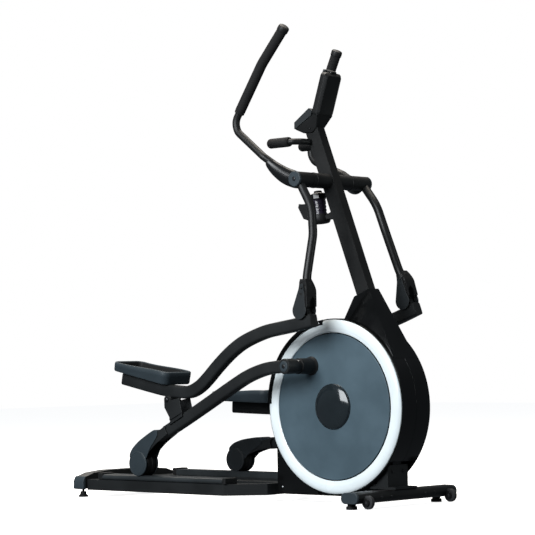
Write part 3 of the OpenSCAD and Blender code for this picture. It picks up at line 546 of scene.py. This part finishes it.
for i, p in enumerate(shell_line):
    a, b = shell_line[max(i - 1, 0)], shell_line[min(i + 1, len(shell_line) - 1)]
    n = math.hypot(b[0] - a[0], b[1] - a[1])
    inner.append((p[0] - (b[1] - a[1]) / n * 3.0, p[1] + (b[0] - a[0]) / n * 3.0))
both("roller_shell", "arm", "slate", prism(shell_line + inner[::-1], -ARM_Y - 28.4, -ARM_Y + 34),
     "plastic_slate", ("roller_cover",), edge=1.0)
cap = [(0, 48), (2.5, 48), (4.6, 47), (5.6, 45), (5.8, 42.4), (5.0, 41.6), (5.0, 40.4),
       (5.9, 39.6), (6.3, 24), (6.5, 0.01)]
both("roller_cap", "arm", "slate", lathe((AXLE_R[0], -ARM_Y - 26, AXLE_R[1]), (0, -1, 0), cap, 80),
     "plastic_slate", soft=25)
# the inner cap is a darker copy of the same slate plastic: painted shade on the side that faces the
# machine's middle
both("roller_cap_inner", "arm", "slate_dark", lathe(
    (AXLE_R[0], -ARM_Y + 31.7, AXLE_R[1]), (0, 1, 0), cap, 80), "plastic_slate", soft=25)

# ---------------------------------------------------------------- pedals
TILT = math.radians(11.5)
PEDAL = (-853, 470)
PEDAL_L, PEDAL_Y0, PEDAL_Y1 = 300.0, -256.0, -100.0


def pedal_point(x, y, z):
    """A point of the pedal: x along the foot, z up from the tray's underside."""
    return (PEDAL[0] + x * math.cos(TILT) + z * math.sin(TILT), y,
            PEDAL[1] - x * math.sin(TILT) + z * math.cos(TILT))


def pedal_ring(inset, r, z_of, n=10):
    """Points round the tray, drawn in by inset, with its height set by z_of(x)."""
    w, d = PEDAL_L - 2 * inset, PEDAL_Y1 - PEDAL_Y0 - 2 * inset
    mid = (PEDAL_Y0 + PEDAL_Y1) / 2
    r = max(r - inset, 3)
    out = []
    base = round_rect(w, d, r, n)
    m = len(base)
    for k in range(m):
        a, b = base[k], base[(k + 1) % m]
        parts = 8 if math.hypot(b[0] - a[0], b[1] - a[1]) > 30 else 1
        for q in range(parts):
            x = a[0] + (b[0] - a[0]) * q / parts
            y = a[1] + (b[1] - a[1]) * q / parts
            out.append(pedal_point(x, mid + y, z_of(x)))
    return out


def rim(x, low=37.0, high=50.0):
    """Height of the tray's rim along the foot, rising towards the toes."""
    t = min(1, max(0, (x + 110) / 240))
    return low + (high - low) * t * t * (3 - 2 * t)


lining = [pedal_ring(11.9, 30, lambda x: rim(x) - 3.0),
          pedal_ring(13.6, 30, lambda x: rim(x) - 8),
          pedal_ring(15.6, 30, lambda x: 12.0), pedal_ring(19.5, 30, lambda x: 9.6)]
lining += [pedal_ring(18.6, 30, lambda x: 8.6), pedal_ring(14.6, 30, lambda x: 11.4),
           pedal_ring(12.7, 30, lambda x: rim(x) - 8.2),
           pedal_ring(11.2, 30, lambda x: rim(x) - 3.4)]
m = len(lining[0])
both("pedal_lining", "pedal", "tread", (
    [p for r in lining for p in r], loft_faces(len(lining), m, closed=True)), "rubber_black", soft=40)
rings = [pedal_ring(9, 30, lambda x: 0.0), pedal_ring(3, 30, lambda x: 1.5),
         pedal_ring(0, 30, lambda x: 7.0), pedal_ring(0, 30, lambda x: rim(x) * 0.55),
         pedal_ring(-0.6, 30, lambda x: rim(x) * 0.57), pedal_ring(-0.4, 30, lambda x: rim(x) - 4),
         pedal_ring(1.2, 30, lambda x: rim(x) - 1.2), pedal_ring(4, 30, lambda x: rim(x)),
         pedal_ring(9, 30, lambda x: rim(x) - 0.2), pedal_ring(11.5, 30, lambda x: rim(x) - 2.5),
         pedal_ring(13, 30, lambda x: rim(x) - 8), pedal_ring(15, 30, lambda x: 12.0),
         pedal_ring(19, 30, lambda x: 9.0)]
both("pedal_tray", "pedal", "slate", stacked(rings), "plastic_slate", ("pedal",), soft=40)
# the mat: raised wavy ribs along the foot, in a border
strips = []
RIB_COUNT, MAT_INSET = 13, 25
for k in range(RIB_COUNT):
    y = PEDAL_Y0 + MAT_INSET + k * (PEDAL_Y1 - PEDAL_Y0 - 2 * MAT_INSET) / (RIB_COUNT - 1)
    half = 118 - (10 if k in (0, RIB_COUNT - 1) else 0)
    line = [pedal_point(x, y + 1.6 * math.sin(x / 9.0), 10.6) for x in range(-half, half + 1, 4)]
    strips.append(swept(line, lambda i, s: round_rect(4.6, 5.0, 1.6, 2)))
border = [pedal_ring(19.5, 30, lambda x: 9.0), pedal_ring(19.7, 30, lambda x: 12.0),
          pedal_ring(21, 30, lambda x: 12.8), pedal_ring(24, 30, lambda x: 12.8),
          pedal_ring(25, 30, lambda x: 10.4)]
verts = [p for r in border for p in r]
faces = loft_faces(len(border), m) + [[(len(border) - 1) * m + k for k in range(m)]]
both("pedal_mat", "pedal", "tread", joined((verts, faces), *strips), "rubber_black", soft=40)

# ---------------------------------------------------------------- handles
UPPER = [(-67, -165, 1190), (-128, -200, 1226), (-188, -236, 1278), (-313, -240, 1379),
         (-325, -240, 1418), (-185, -240, 1620), (-72, -240, 1743)]
d1 = (Vector(UPPER[5]) - Vector(UPPER[4])).normalized()
d2 = (Vector(UPPER[6]) - Vector(UPPER[5])).normalized()
start = Vector((-302.8, -240, 1450.1))
elbow, tip = Vector(UPPER[5]), Vector((-68.5, -240, 1746.8))
ROUND, CAP_DEPTH = 14, 22            # length of the elbow's curve each way, and of the cap
before, after = elbow - d1 * ROUND, elbow + d2 * ROUND
line = [start.lerp(before, k / 24) for k in range(24)]
line += [before.lerp(elbow, k / 10).lerp(elbow.lerp(after, k / 10), k / 10) for k in range(10)]
line += [after.lerp(tip - d2 * CAP_DEPTH, k / 16) for k in range(17)]


def foam_section(i, s):
    return circle(19.3 if s > 0.01 else 17.6, 40)


LOWER = [(-67, -182, 1190), (-16, -168, 1085), (-9, -170, 985), (-16, -200, 830),
         (-10, -205, 784)]
SLEEVE = 203
both("swing_tube_lower", "swing", "paint", tube(LOWER, 16, 170), "frame_paint", ("swing_arm",),
     soft=45)
both("swing_tube_upper", "swing", "paint", tube(UPPER, 14, 45), "frame_paint", soft=45)
both("swing_sleeve", "swing", "paint", lathe((PIVOT[0], -SLEEVE, PIVOT[1]), (0, 1, 0), [
    (0, 27), (1, 28), (77.5, 28), (78.7, 27)], 72), "frame_paint", soft=30)
bridge = prism([(-24, 772), (10, 772), (8, 794), (-22, 794)], -ARM_Y - 22, -ARM_Y + 22)
both("fork_bridge", "swing", "paint", bridge, "frame_paint", edge=3.5, segments=3)
cheek = [(-26, 772), plus(TOGGLE_R, (-20, 6))]
cheek += [plus(TOGGLE_R, turned((18, 0), math.radians(a))) for a in range(180, 361, 12)]
cheek += [plus(TOGGLE_R, (20, 6)), (10, 772)]
both("fork_cheeks", "swing", "paint", joined(*[
    prism(cheek, y, y + 5) for y in (-ARM_Y - 26, -ARM_Y + 21)]), "frame_paint", edge=1.0)
both("grip_sleeve", "swing", "grip_foam", swept(line, foam_section), "foam", ("handle_grip",),
     soft=40)
end = [(0, 19.0), (0.4, 20.6), (2, 21.2), (12, 21.4), (17, 21.0), (20.5, 19.6), (22.6, 16.4),
       (23.8, 11), (24.3, 5), (24.4, 0.01)]
both("grip_cap", "swing", "plastic", lathe(tuple(tip - d2 * 24), tuple(d2), end, 56),
     "plastic_dark", soft=30)
both("grip_collar", "swing", "plastic", lathe(tuple(start - d1 * 3), tuple(d1), [
    (0, 14.2), (0, 17.6), (1.5, 18.6), (5, 18.8), (6, 18)], 48), "plastic_dark", soft=30)


def fairing_ring(i, s):
    """The moulded cover on the handle next to its pivot: an egg-shaped section."""
    swell = math.sin(math.pi * (0.12 + 0.88 * s) ** 0.75) ** 0.8
    return [(a * (14 + 10 * swell), b * (14 + 18 * swell) - 5 * swell) for a, b in circle(1, 48)]


pod = smooth_line([(-70, -160, 1186), (-92, -172, 1196), (-122, -192, 1212), (-152, -213, 1238),
                   (-174, -226, 1262)], 8)
both("handle_fairing", "swing", "satin", swept(pod, fairing_ring), "shell_black", soft=45)

cap = [(-6, 28.4), (0, 28.4), (1.8, 27.6), (2.6, 26), (2.6, 9), (1.8, 8.6)]
both("pivot_cap", "swing", "slate", lathe((PIVOT[0], -SLEEVE, PIVOT[1]), (0, -1, 0), cap, 72),
     "plastic_slate", soft=25)
both("pivot_bolt", "swing", "bolt", bolt((PIVOT[0], -SLEEVE - 2.4, PIVOT[1]), (0, -1, 0), 7.6, 3.4),
     "steel", soft=25)
both("pivot_collar", "frame", "plastic", lathe((PIVOT[0], -96, PIVOT[1]), (0, -1, 0), [
    (0, 28.1), (0.8, 29.2), (6, 29.2), (6.8, 28.1)], 72), "plastic_dark", soft=25)
FORK_TOP, FORK_SHOULDER = 822, 780


def narrowed(shape):
    """The shape drawn in towards the tube near the top of the fork."""
    verts, faces = shape
    out = []
    for x, y, z in verts:
        up_share = max(0.0, (z - FORK_SHOULDER) / (FORK_TOP - FORK_SHOULDER))
        k = 1.0 - 0.36 * up_share ** 1.3
        out.append((x, -ARM_Y + (y + ARM_Y) * k, z))
    return out, faces


# clevis: slate teardrop covers, a front shell with an arched foot, and screws
for tag, y0, y1, out in (("outer", -ARM_Y - 29.4, -ARM_Y - 26.1, -1),
                         ("inner", -ARM_Y + 26.1, -ARM_Y + 29.4, 1)):
    c = plus(TOGGLE_R, (-4, -1))
    drop = arc(c, 32, -208, 28, 34)
    drop += arc((-12, 796), 9.5, 20, 165, 10)
    both("clevis_cover_" + tag, "swing", "slate_dark", narrowed(prism(drop, y0, y1)),
         "plastic_slate", ("clevis_covers",) if tag == "outer" else (), edge=1.2)
    y = y0 if out < 0 else y1
    both("clevis_screw_" + tag, "swing", "bolt", bolt((-10, y, 790), (0, out, 0), 4.2, 2.0), "steel",
         soft=25)


SHELL_X, CURVE_START = 15.0, 775
ARCH_HALF, ARCH_SPRING, ARCH_TOP = 16.5, 732, 754


def clevis_x(z):
    """How far forward the shell of the fork stands at a height."""
    if z < CURVE_START:
        return SHELL_X
    return SHELL_X - SHELL_X * ((z - CURVE_START) / (FORK_TOP - CURVE_START)) ** 1.6


def arch_half(z):
    """Half the width of the arched opening in the shell at a height, or None above it."""
    if z > ARCH_TOP:
        return None
    rise = max(0, z - ARCH_SPRING) / (ARCH_TOP - ARCH_SPRING + 0.5)
    return ARCH_HALF * math.sqrt(max(0.05, 1 - rise ** 2))


heights = [FORK_TOP - 4.0 * i for i in range(26)]
shell = []
for low, high in zip(heights[1:], heights[:-1]):
    lo, hi = arch_half(low), arch_half(high)
    bands = [(-26, 26, -26, 26)]
    if lo is not None:
        hi = hi if hi is not None else lo * 0.55
        bands = [(-26, 6 - lo, -26, 6 - hi), (6 + lo, 26, 6 + hi, 26)]
    for a, b, c, d in bands:
        quad = [(a, low), (b, low), (d, high), (c, high)]
        v = [(clevis_x(z) - 3.2, -ARM_Y + y, z) for y, z in quad]
        v += [(clevis_x(z), -ARM_Y + y, z) for y, z in quad]
        f = [[4, 5, 6, 7], [3, 2, 1, 0]]
        if a == -26:
            f.append([0, 4, 7, 3])
        if b == 26:
            f.append([1, 2, 6, 5])
        if lo is not None and b != 26:
            f.append([1, 2, 6, 5])
        if lo is not None and a != -26:
            f.append([0, 4, 7, 3])
        shell.append((v, f))
both("clevis_front", "swing", "plastic", narrowed(joined(*shell)), "shell_black", soft=50)
wall = [(-27, FORK_TOP)] + [(clevis_x(z), z) for z in heights] + [(8, 716), (-6, 716), (-31, 765)]
both("clevis_walls", "swing", "plastic", narrowed(joined(*[
    prism(wall, y, y + 2.2) for y in (-ARM_Y - 25.6, -ARM_Y + 23.4)])), "shell_black", edge=0.9)
both("clevis_top", "swing", "plastic", narrowed(prism(
    [(-27, 822), (-28, 806), (-24, 806), (-4, 815), (-1, 822)], -ARM_Y - 26, -ARM_Y + 26)),
    "shell_black", edge=1.5)
both("clevis_collar", "swing", "plastic", lathe((-11, -ARM_Y + 4, 796), (-0.02, 0.08, 1), [
    (0, 22), (8, 21.5), (13, 18.5), (14, 16.2)], 48), "plastic_dark", soft=30)

# ---------------------------------------------------------------- crank set
ring_profile = [(78.2, 318), (78.2, 270.8), (82.8, 270.8), (85.6, 274.5), (86.6, 279), (86.6, 281.5),
                (87.6, 283.5), (88.4, 289), (88.4, 300), (87.4, 308), (84.8, 314), (81.5, 317.5)]


def flat_rings(profile, segments=160):
    return lathe((CRANK[0], 0, CRANK[1]), (0, -1, 0), profile, segments, closed=True)


for side in (RIGHT, LEFT):
    v, f = flat_rings(ring_profile)
    o = piece("trim_ring_" + side, "frame", "ring", v, f, "ring_white", side=side, soft=28)
    if side == RIGHT:
        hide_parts("trim_rings")
hub_profile = [(85.5, 84), (87.5, 84), (88.3, 83.4), (88.6, 82)]
hub_profile += [(88.6 + 19 * math.sqrt(max(0, 1 - (r / 84) ** 2)) ** 1.15, r)
                for r in (80, 76, 70, 62, 54, 46, 38, 30, 22, 14, 7, 0.01)]
v, f = lathe((CRANK[0], 0, CRANK[1]), (0, -1, 0), hub_profile, 96)
for side in (RIGHT, LEFT):
    o = piece("hub_dome_" + side, "crank", "hub", v, f, "hub_dark", side=side, soft=30)
    if side == RIGHT:
        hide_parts("hub_caps")
# a fine groove ring and a rim lip on each disc
groove = [(85.2, 262.5), (85.9, 262.8), (86.2, 264.4), (85.6, 266.6), (83, 266.8)]
for side in (RIGHT, LEFT):
    v, f = lathe((CRANK[0], 0, CRANK[1]), (0, -1, 0), groove, 160, closed=True)
    piece("disc_lip_" + side, "crank", "disc", v, f, "disc_slate", side=side, soft=30)
neck = []
for k in range(2):
    a = math.radians(55 + 180 * k)
    neck.append(bolt((PIN_R[0] + 24.6 * math.cos(a), -171, PIN_R[1] + 24.6 * math.sin(a)),
                     (math.cos(a), 0, math.sin(a)), 3.6, 2.0))
both("crank_pin_screws", "crank", "steel", joined(*neck), "steel", soft=25)
both("crank_pin_flange", "crank", "plastic", lathe(
    (PIN_R[0], -DISC_Y - 0.2, PIN_R[1]), (0, -1, 0),
    [(0, 35), (1.5, 35), (4, 33), (8, 30), (10, 29)], 64), "plastic_dark", soft=30)

# the dark cover over the upper rear of each ring
COVER_START, COVER_SPAN = 98, 80     # degrees round the crank axis


def swell_at(a):
    """How far the cover has swelled at an angle, 0 at its ends and 1 in the middle."""
    return math.sin(math.radians((a - COVER_START) / COVER_SPAN * 180))


cover_line = [(a, 302 + 3 * swell_at(a))
              for a in range(COVER_START, COVER_START + COVER_SPAN + 1, 4)]


def cover_shape():
    """An arched strip lofted along cover_line."""
    verts = []
    n, m = len(cover_line), 7
    for a, r0 in cover_line:
        q = math.radians(a)
        r1 = 320 + 3.5 * swell_at(a)
        for r, y in ((r0, 88.2), (r0 + 2, 90.6), ((r0 + r1) / 2, 91.4), (r1, 89.4),
                     (r1 + 1.5, 84), (r1 + 1.0, 76.5), (r0, 76.5)):
            verts.append((CRANK[0] + r * math.cos(q), -y, CRANK[1] + r * math.sin(q)))
    faces = loft_faces(n, m)
    faces.append(list(range(m)))
    faces.append([(n - 1) * m + k for k in range(m)][::-1])
    return verts, faces


both("ring_cover", "frame", "shell", cover_shape(), "shell_black", soft=40)
a = math.radians(101)
both("ring_cover_screw", "frame", "steel", bolt(
    (CRANK[0] + 310 * math.cos(a), -90.8, CRANK[1] + 310 * math.sin(a)), (0, -1, 0), 4.2, 2.0),
    "steel", soft=25)

# ---------------------------------------------------------------- fixed grips, bottle, console
BAR_Z, BAR_Y, BAR_END = 1343, -88, -292
bar_path = [(-146, -4, BAR_Z), (-158, -62, BAR_Z), (-180, BAR_Y, BAR_Z), (BAR_END, BAR_Y, BAR_Z)]
for side in (RIGHT, LEFT):
    v, f = tube(bar_path, 12, 20)
    o = piece("fixed_bar_" + side, "frame", "paint", v, f, "frame_paint", side=side, soft=45)
    if side == RIGHT:
        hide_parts("fixed_handlebar")
GRIP_LENGTH, GRIP_R, GRIP_NOSE, GRIP_STEP = 105, 18.6, 0.12, 0.95


def fixed_grip_radius(s):
    """Radius of the foam grip at a share of its length, rounded at its free end."""
    if s == 0:
        return 6.0
    if s > GRIP_STEP:
        return GRIP_R - 1.2
    if s >= GRIP_NOSE:
        return GRIP_R
    rounding = 1 - ((GRIP_NOSE - s) / GRIP_NOSE) ** 2
    return GRIP_R * math.sqrt(rounding * 0.65 + 0.35)


fixed = [(along, fixed_grip_radius(along / GRIP_LENGTH)) for along in range(GRIP_LENGTH + 1)]
v, f = lathe((BAR_END - 4.6, BAR_Y, BAR_Z), (1, 0, 0), fixed, 40)
for side in (RIGHT, LEFT):
    o = piece("fixed_grip_" + side, "frame", "grip_foam", v, f, "foam", side=side, soft=40)
    if side == RIGHT:
        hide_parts("fixed_grips")
BOTTLE_LEAN = math.radians(-6)
up = Vector((math.sin(BOTTLE_LEAN), 0, math.cos(BOTTLE_LEAN)))
BOTTLE = Vector((-120, 0, 1038))
BOTTLE_R, RIB_STEP, RIBS = 26.6, 13.2, 5
profile = [(0, 22), (1.2, 25), (4, BOTTLE_R)]
for k in range(RIBS):
    z = 8.0 + k * RIB_STEP
    profile += [(z, BOTTLE_R), (z + 2.0, BOTTLE_R - 1.6), (z + 5.0, BOTTLE_R - 1.6),
                (z + 7.4, BOTTLE_R)]
profile += [(78, BOTTLE_R), (84, 25.4), (88, 22), (92, 20)]
v, f = lathe(tuple(BOTTLE + up * 3.3), tuple(up), profile, 56)
o = piece("bottle_ribbed", "bottle", "bottle", v, f, "bottle_violet", soft=30)
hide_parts("bottle")
v, f = lathe(tuple(BOTTLE + up * 88), tuple(up), [
    (0, 26), (3, 28.6), (22, 28.6), (24, 26.5), (25, 21), (26, 16), (33, 15), (34.5, 13.5)], 8)
o = piece("bottle_lid", "bottle", "shell", v, f, "plastic_dark", soft=20, edge=0.8)
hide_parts("bottle_cap")
cup = lathe(tuple(BOTTLE), tuple(up), [
    (0, 18), (0, 32), (2, 35), (10, 38.5), (30, 40), (31, 39.4), (31, 37.4), (11, 36), (4, 32.6),
    (3, 18)], 72, closed=True)
o = piece("bottle_cradle", "frame", "plastic", *cup, "plastic_dark", soft=40)
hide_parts("bottle_holder")
pocket = [(-150, 1046), (-182, 1056), (-208, 1100), (-204, 1112), (-170, 1112)]
piece("bottle_pocket", "frame", "plastic", *joined(*[
    prism(pocket, y, y + 2.6) for y in (-26, 23.4)]), "plastic_dark", edge=0.7)
piece("bottle_pocket_front", "frame", "holder", *joined(
    prism([(-184, 1057), (-210, 1100), (-206, 1114), (-203, 1113), (-206.6, 1100), (-182, 1060.5)],
          -26, 26),
    prism([(-150, 1046), (-184, 1057), (-182, 1060.5), (-150, 1049.6)], -26, 26)),
    "plastic_dark", edge=0.7)
piece("bottle_bracket", "frame", "plastic", *prism(
    [(-84, 1050), (-42, 1050), (-56, 1078), (-86, 1066)], -14, 14), "plastic_dark", edge=2.0)

LEAN = math.radians(19)
CONSOLE = (-79, 1512)


def console_point(x, y, z):
    """A point of the console: x through it away from the user, z up its face."""
    return (CONSOLE[0] + x * math.cos(LEAN) + z * math.sin(LEAN), y,
            CONSOLE[1] - x * math.sin(LEAN) + z * math.cos(LEAN))


rings = []
for x, inset in ((-14.0, 8.4), (-15.8, 7.6), (-16.0, 3.5), (-15.0, 1.0), (-12.0, 0.0), (5.0, 0.0),
                 (6.2, 0.6), (12.6, 6.6), (15.0, 8.2), (16.0, 9.6), (16.0, 11.6), (15.0, 12.4),
                 (14.6, 13.6)):
    rings.append([console_point(x, y, 3 + z) for y, z in round_rect(
        94 - 2 * inset, 166 - 2 * inset, 15 - inset * 0.55, 8)])
o = piece("console_shell", "frame", "plastic", *stacked(rings), "plastic_dark", soft=24)
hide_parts("console_body")
# the deck under the keys is the CAD part cut along the line where the neck begins
bm = bmesh.new()
bm.from_mesh(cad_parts["console_base"].data)
bmesh.ops.transform(bm, matrix=TO_FRAME.inverted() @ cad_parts["console_base"].matrix_world,
                    verts=bm.verts)
bmesh.ops.remove_doubles(bm, verts=bm.verts, dist=0.02)
for at, out in (((-206, 0, 1391), (60, 0, -106)), ((-100, 0, 1440), (1, 0, 0))):
    bmesh.ops.bisect_plane(bm, geom=bm.verts[:] + bm.edges[:] + bm.faces[:], plane_co=at,
                           plane_no=Vector(out).normalized(), clear_outer=True)
    bmesh.ops.holes_fill(bm, edges=[e for e in bm.edges if e.is_boundary])
bmesh.ops.dissolve_limit(bm, angle_limit=0.01, verts=bm.verts, edges=bm.edges)
bm.verts.index_update()
v = [tuple(q.co) for q in bm.verts]
f = [[q.index for q in face.verts] for face in bm.faces]
bm.free()
o = piece("console_deck", "frame", "slate_dark", v, f, "plastic_slate", edge=2.0)
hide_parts("console_base")
neck = []
for y in (-45, 45):
    n = y / 45
    neck += [(-203, y, 1392.5), (-101, y, 1450), (-89, y, 1441), (-112, n * 23, 1398),
             (-136, n * 24, 1376), (-176, n * 30, 1378)]
v, f = neck, [[0, 1, 4, 5], [1, 2, 3, 4], [7, 6, 11, 10], [8, 7, 10, 9], [0, 6, 7, 1], [1, 7, 8, 2],
              [2, 8, 9, 3], [3, 9, 10, 4], [4, 10, 11, 5], [5, 11, 6, 0]]
piece("console_neck", "frame", "plastic", v, f, "plastic_dark", edge=4.0, segments=3)
hook = [console_point(x, 0, z) for x, z in (
    (-24, 93), (-34, 93), (-36, 76), (-31, 76), (-29.5, 87.5), (-24, 87.5))]
o = piece("clamp_hook", "clamp", "holder", *prism([(x, z) for x, y, z in hook], -17, 17),
          "plastic_dark", edge=1.0)
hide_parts("tablet_clamp")
bridge = [console_point(x, 0, z) for x, z in (
    (-24, 93), (-24, 87.5), (-14, 86.8), (8, 86.8), (8.5, 89), (6, 93), (-10, 93.6))]
piece("clamp_bridge", "clamp", "plastic", *prism([(x, z) for x, y, z in bridge], -14, 14),
      "plastic_dark", edge=1.4)
# guide rods that keep the lifted clamp joined to the console
rods = [lathe(console_point(-3, y, 60), (math.sin(LEAN), 0, math.cos(LEAN)),
              [(0, 2.2), (29, 2.2)], 20) for y in (-9, 9)]
piece("clamp_rods", "clamp", "steel", *joined(*rods), "steel")
for side in (RIGHT, LEFT):
    o = piece("neck_screw_" + side, "frame", "bolt", *bolt((-140, -33, 1392), (0, -1, 0), 3.4, 1.6),
              "steel", side=side, soft=25)

# ---------------------------------------------------------------- screws on the base
screws = [washer_bolt((278, y, 42), (1, 0, 0), 4.4) for y in (-150, -96, 150, 96)]
screws += [washer_bolt((230, y, 124), (1, 0, 0), 5.0) for y in (-30, 30)]
piece("base_bolts", "frame", "bolt", *joined(*screws), "steel", soft=25)
both("skirt_screw", "frame", "steel", bolt((-262, -78, 58), (0, -1, 0), 4.0, 1.8), "steel", soft=25)

# ---------------------------------------------------------------- floor, light and camera
stage_mat = bpy.data.materials.new("mat_stage")
stage_mat.use_nodes = True
t = stage_mat.node_tree
speck = node(t, "ShaderNodeTexNoise", {"Scale": 3.0, "Detail": 2.0})
tone = node(t, "ShaderNodeValToRGB")
tone.color_ramp.elements[0].color = (0.93, 0.93, 0.93, 1)
tone.color_ramp.elements[1].color = (0.97, 0.97, 0.97, 1)
t.links.new(speck.outputs["Fac"], tone.inputs["Fac"])
t.links.new(tone.outputs["Color"], t.nodes["Principled BSDF"].inputs["Base Color"])
for key, value in (("Roughness", 0.7), ("Emission Color", (1, 1, 1, 1)),
                   ("Emission Strength", 0.88), ("Specular IOR Level", 0.1)):
    t.nodes["Principled BSDF"].inputs[key].default_value = value
mesh = bpy.data.meshes.new("floor")
FLOOR = 14.0
mesh.from_pydata([(-FLOOR, -FLOOR, 0), (FLOOR, -FLOOR, 0), (FLOOR, FLOOR, 0), (-FLOOR, FLOOR, 0)],
                 [], [(0, 1, 2, 3)])
mesh.materials.append(stage_mat)
floor = bpy.data.objects.new("floor", mesh)
bpy.context.scene.collection.objects.link(floor)
floor.visible_glossy = floor.visible_diffuse = False

world = bpy.data.worlds.new("studio")
bpy.context.scene.world = world
world.use_nodes = True
w = world.node_tree
w.nodes["Background"].inputs["Color"].default_value = (0.80, 0.90, 1.0, 1)
w.nodes["Background"].inputs["Strength"].default_value = 0.10
backdrop = node(w, "ShaderNodeBackground", {"Color": (1.0, 1.0, 1.0, 1), "Strength": 1.0})
seen = node(w, "ShaderNodeLightPath")
pick = node(w, "ShaderNodeMixShader")
w.links.new(seen.outputs["Is Camera Ray"], pick.inputs["Fac"])
w.links.new(w.nodes["Background"].outputs[0], pick.inputs[1])
w.links.new(backdrop.outputs[0], pick.inputs[2])
w.links.new(pick.outputs[0], w.nodes["World Output"].inputs["Surface"])


def softbox(name, place, aim, size, watts, colour):
    light = bpy.data.lights.new(name, "AREA")
    light.shape = "RECTANGLE"
    light.size, light.size_y = size
    light.energy = watts
    light.color = colour
    o = bpy.data.objects.new(name, light)
    o.location = place
    o.rotation_euler = (Vector(aim) - Vector(place)).to_track_quat("-Z", "Y").to_euler()
    bpy.context.scene.collection.objects.link(o)


softbox("key", (0.5, -4.8, 2.4), (0, 0, 0.7), (3.6, 2.6), 330, (0.93, 0.97, 1.0))
softbox("strip", (4.4, 1.2, 1.5), (0.5, 0, 0.6), (0.25, 2.4), 22, (0.93, 1.0, 0.97))
softbox("top", (-0.4, 0.2, 4.4), (0, 0, 0.8), (3.4, 2.0), 210, (1.0, 0.93, 0.84))
softbox("rim", (-3.6, 1.8, 2.6), (0, 0, 0.9), (1.2, 2.4), 24, (1.0, 0.95, 0.88))

camera_data = bpy.data.cameras.new("camera")
camera_data.lens = 143.33
camera_data.sensor_width = 36
camera_data.clip_start, camera_data.clip_end = 0.5, 60
camera = bpy.data.objects.new("camera", camera_data)
CAMERA_AT = ((CRANK_X + 5115.2) / 1000, -5.9642, 0.5307)
# degrees: 2.5 up from level, a slight roll, and the heading round the object
CAMERA_TURN = [math.radians(a) for a in (92.490, 0.849, 42.767)]
camera.matrix_world = Matrix.Translation(CAMERA_AT) @ Euler(CAMERA_TURN).to_matrix().to_4x4()
bpy.context.scene.collection.objects.link(camera)
bpy.context.scene.camera = camera
bpy.context.scene.view_settings.view_transform = "Standard"
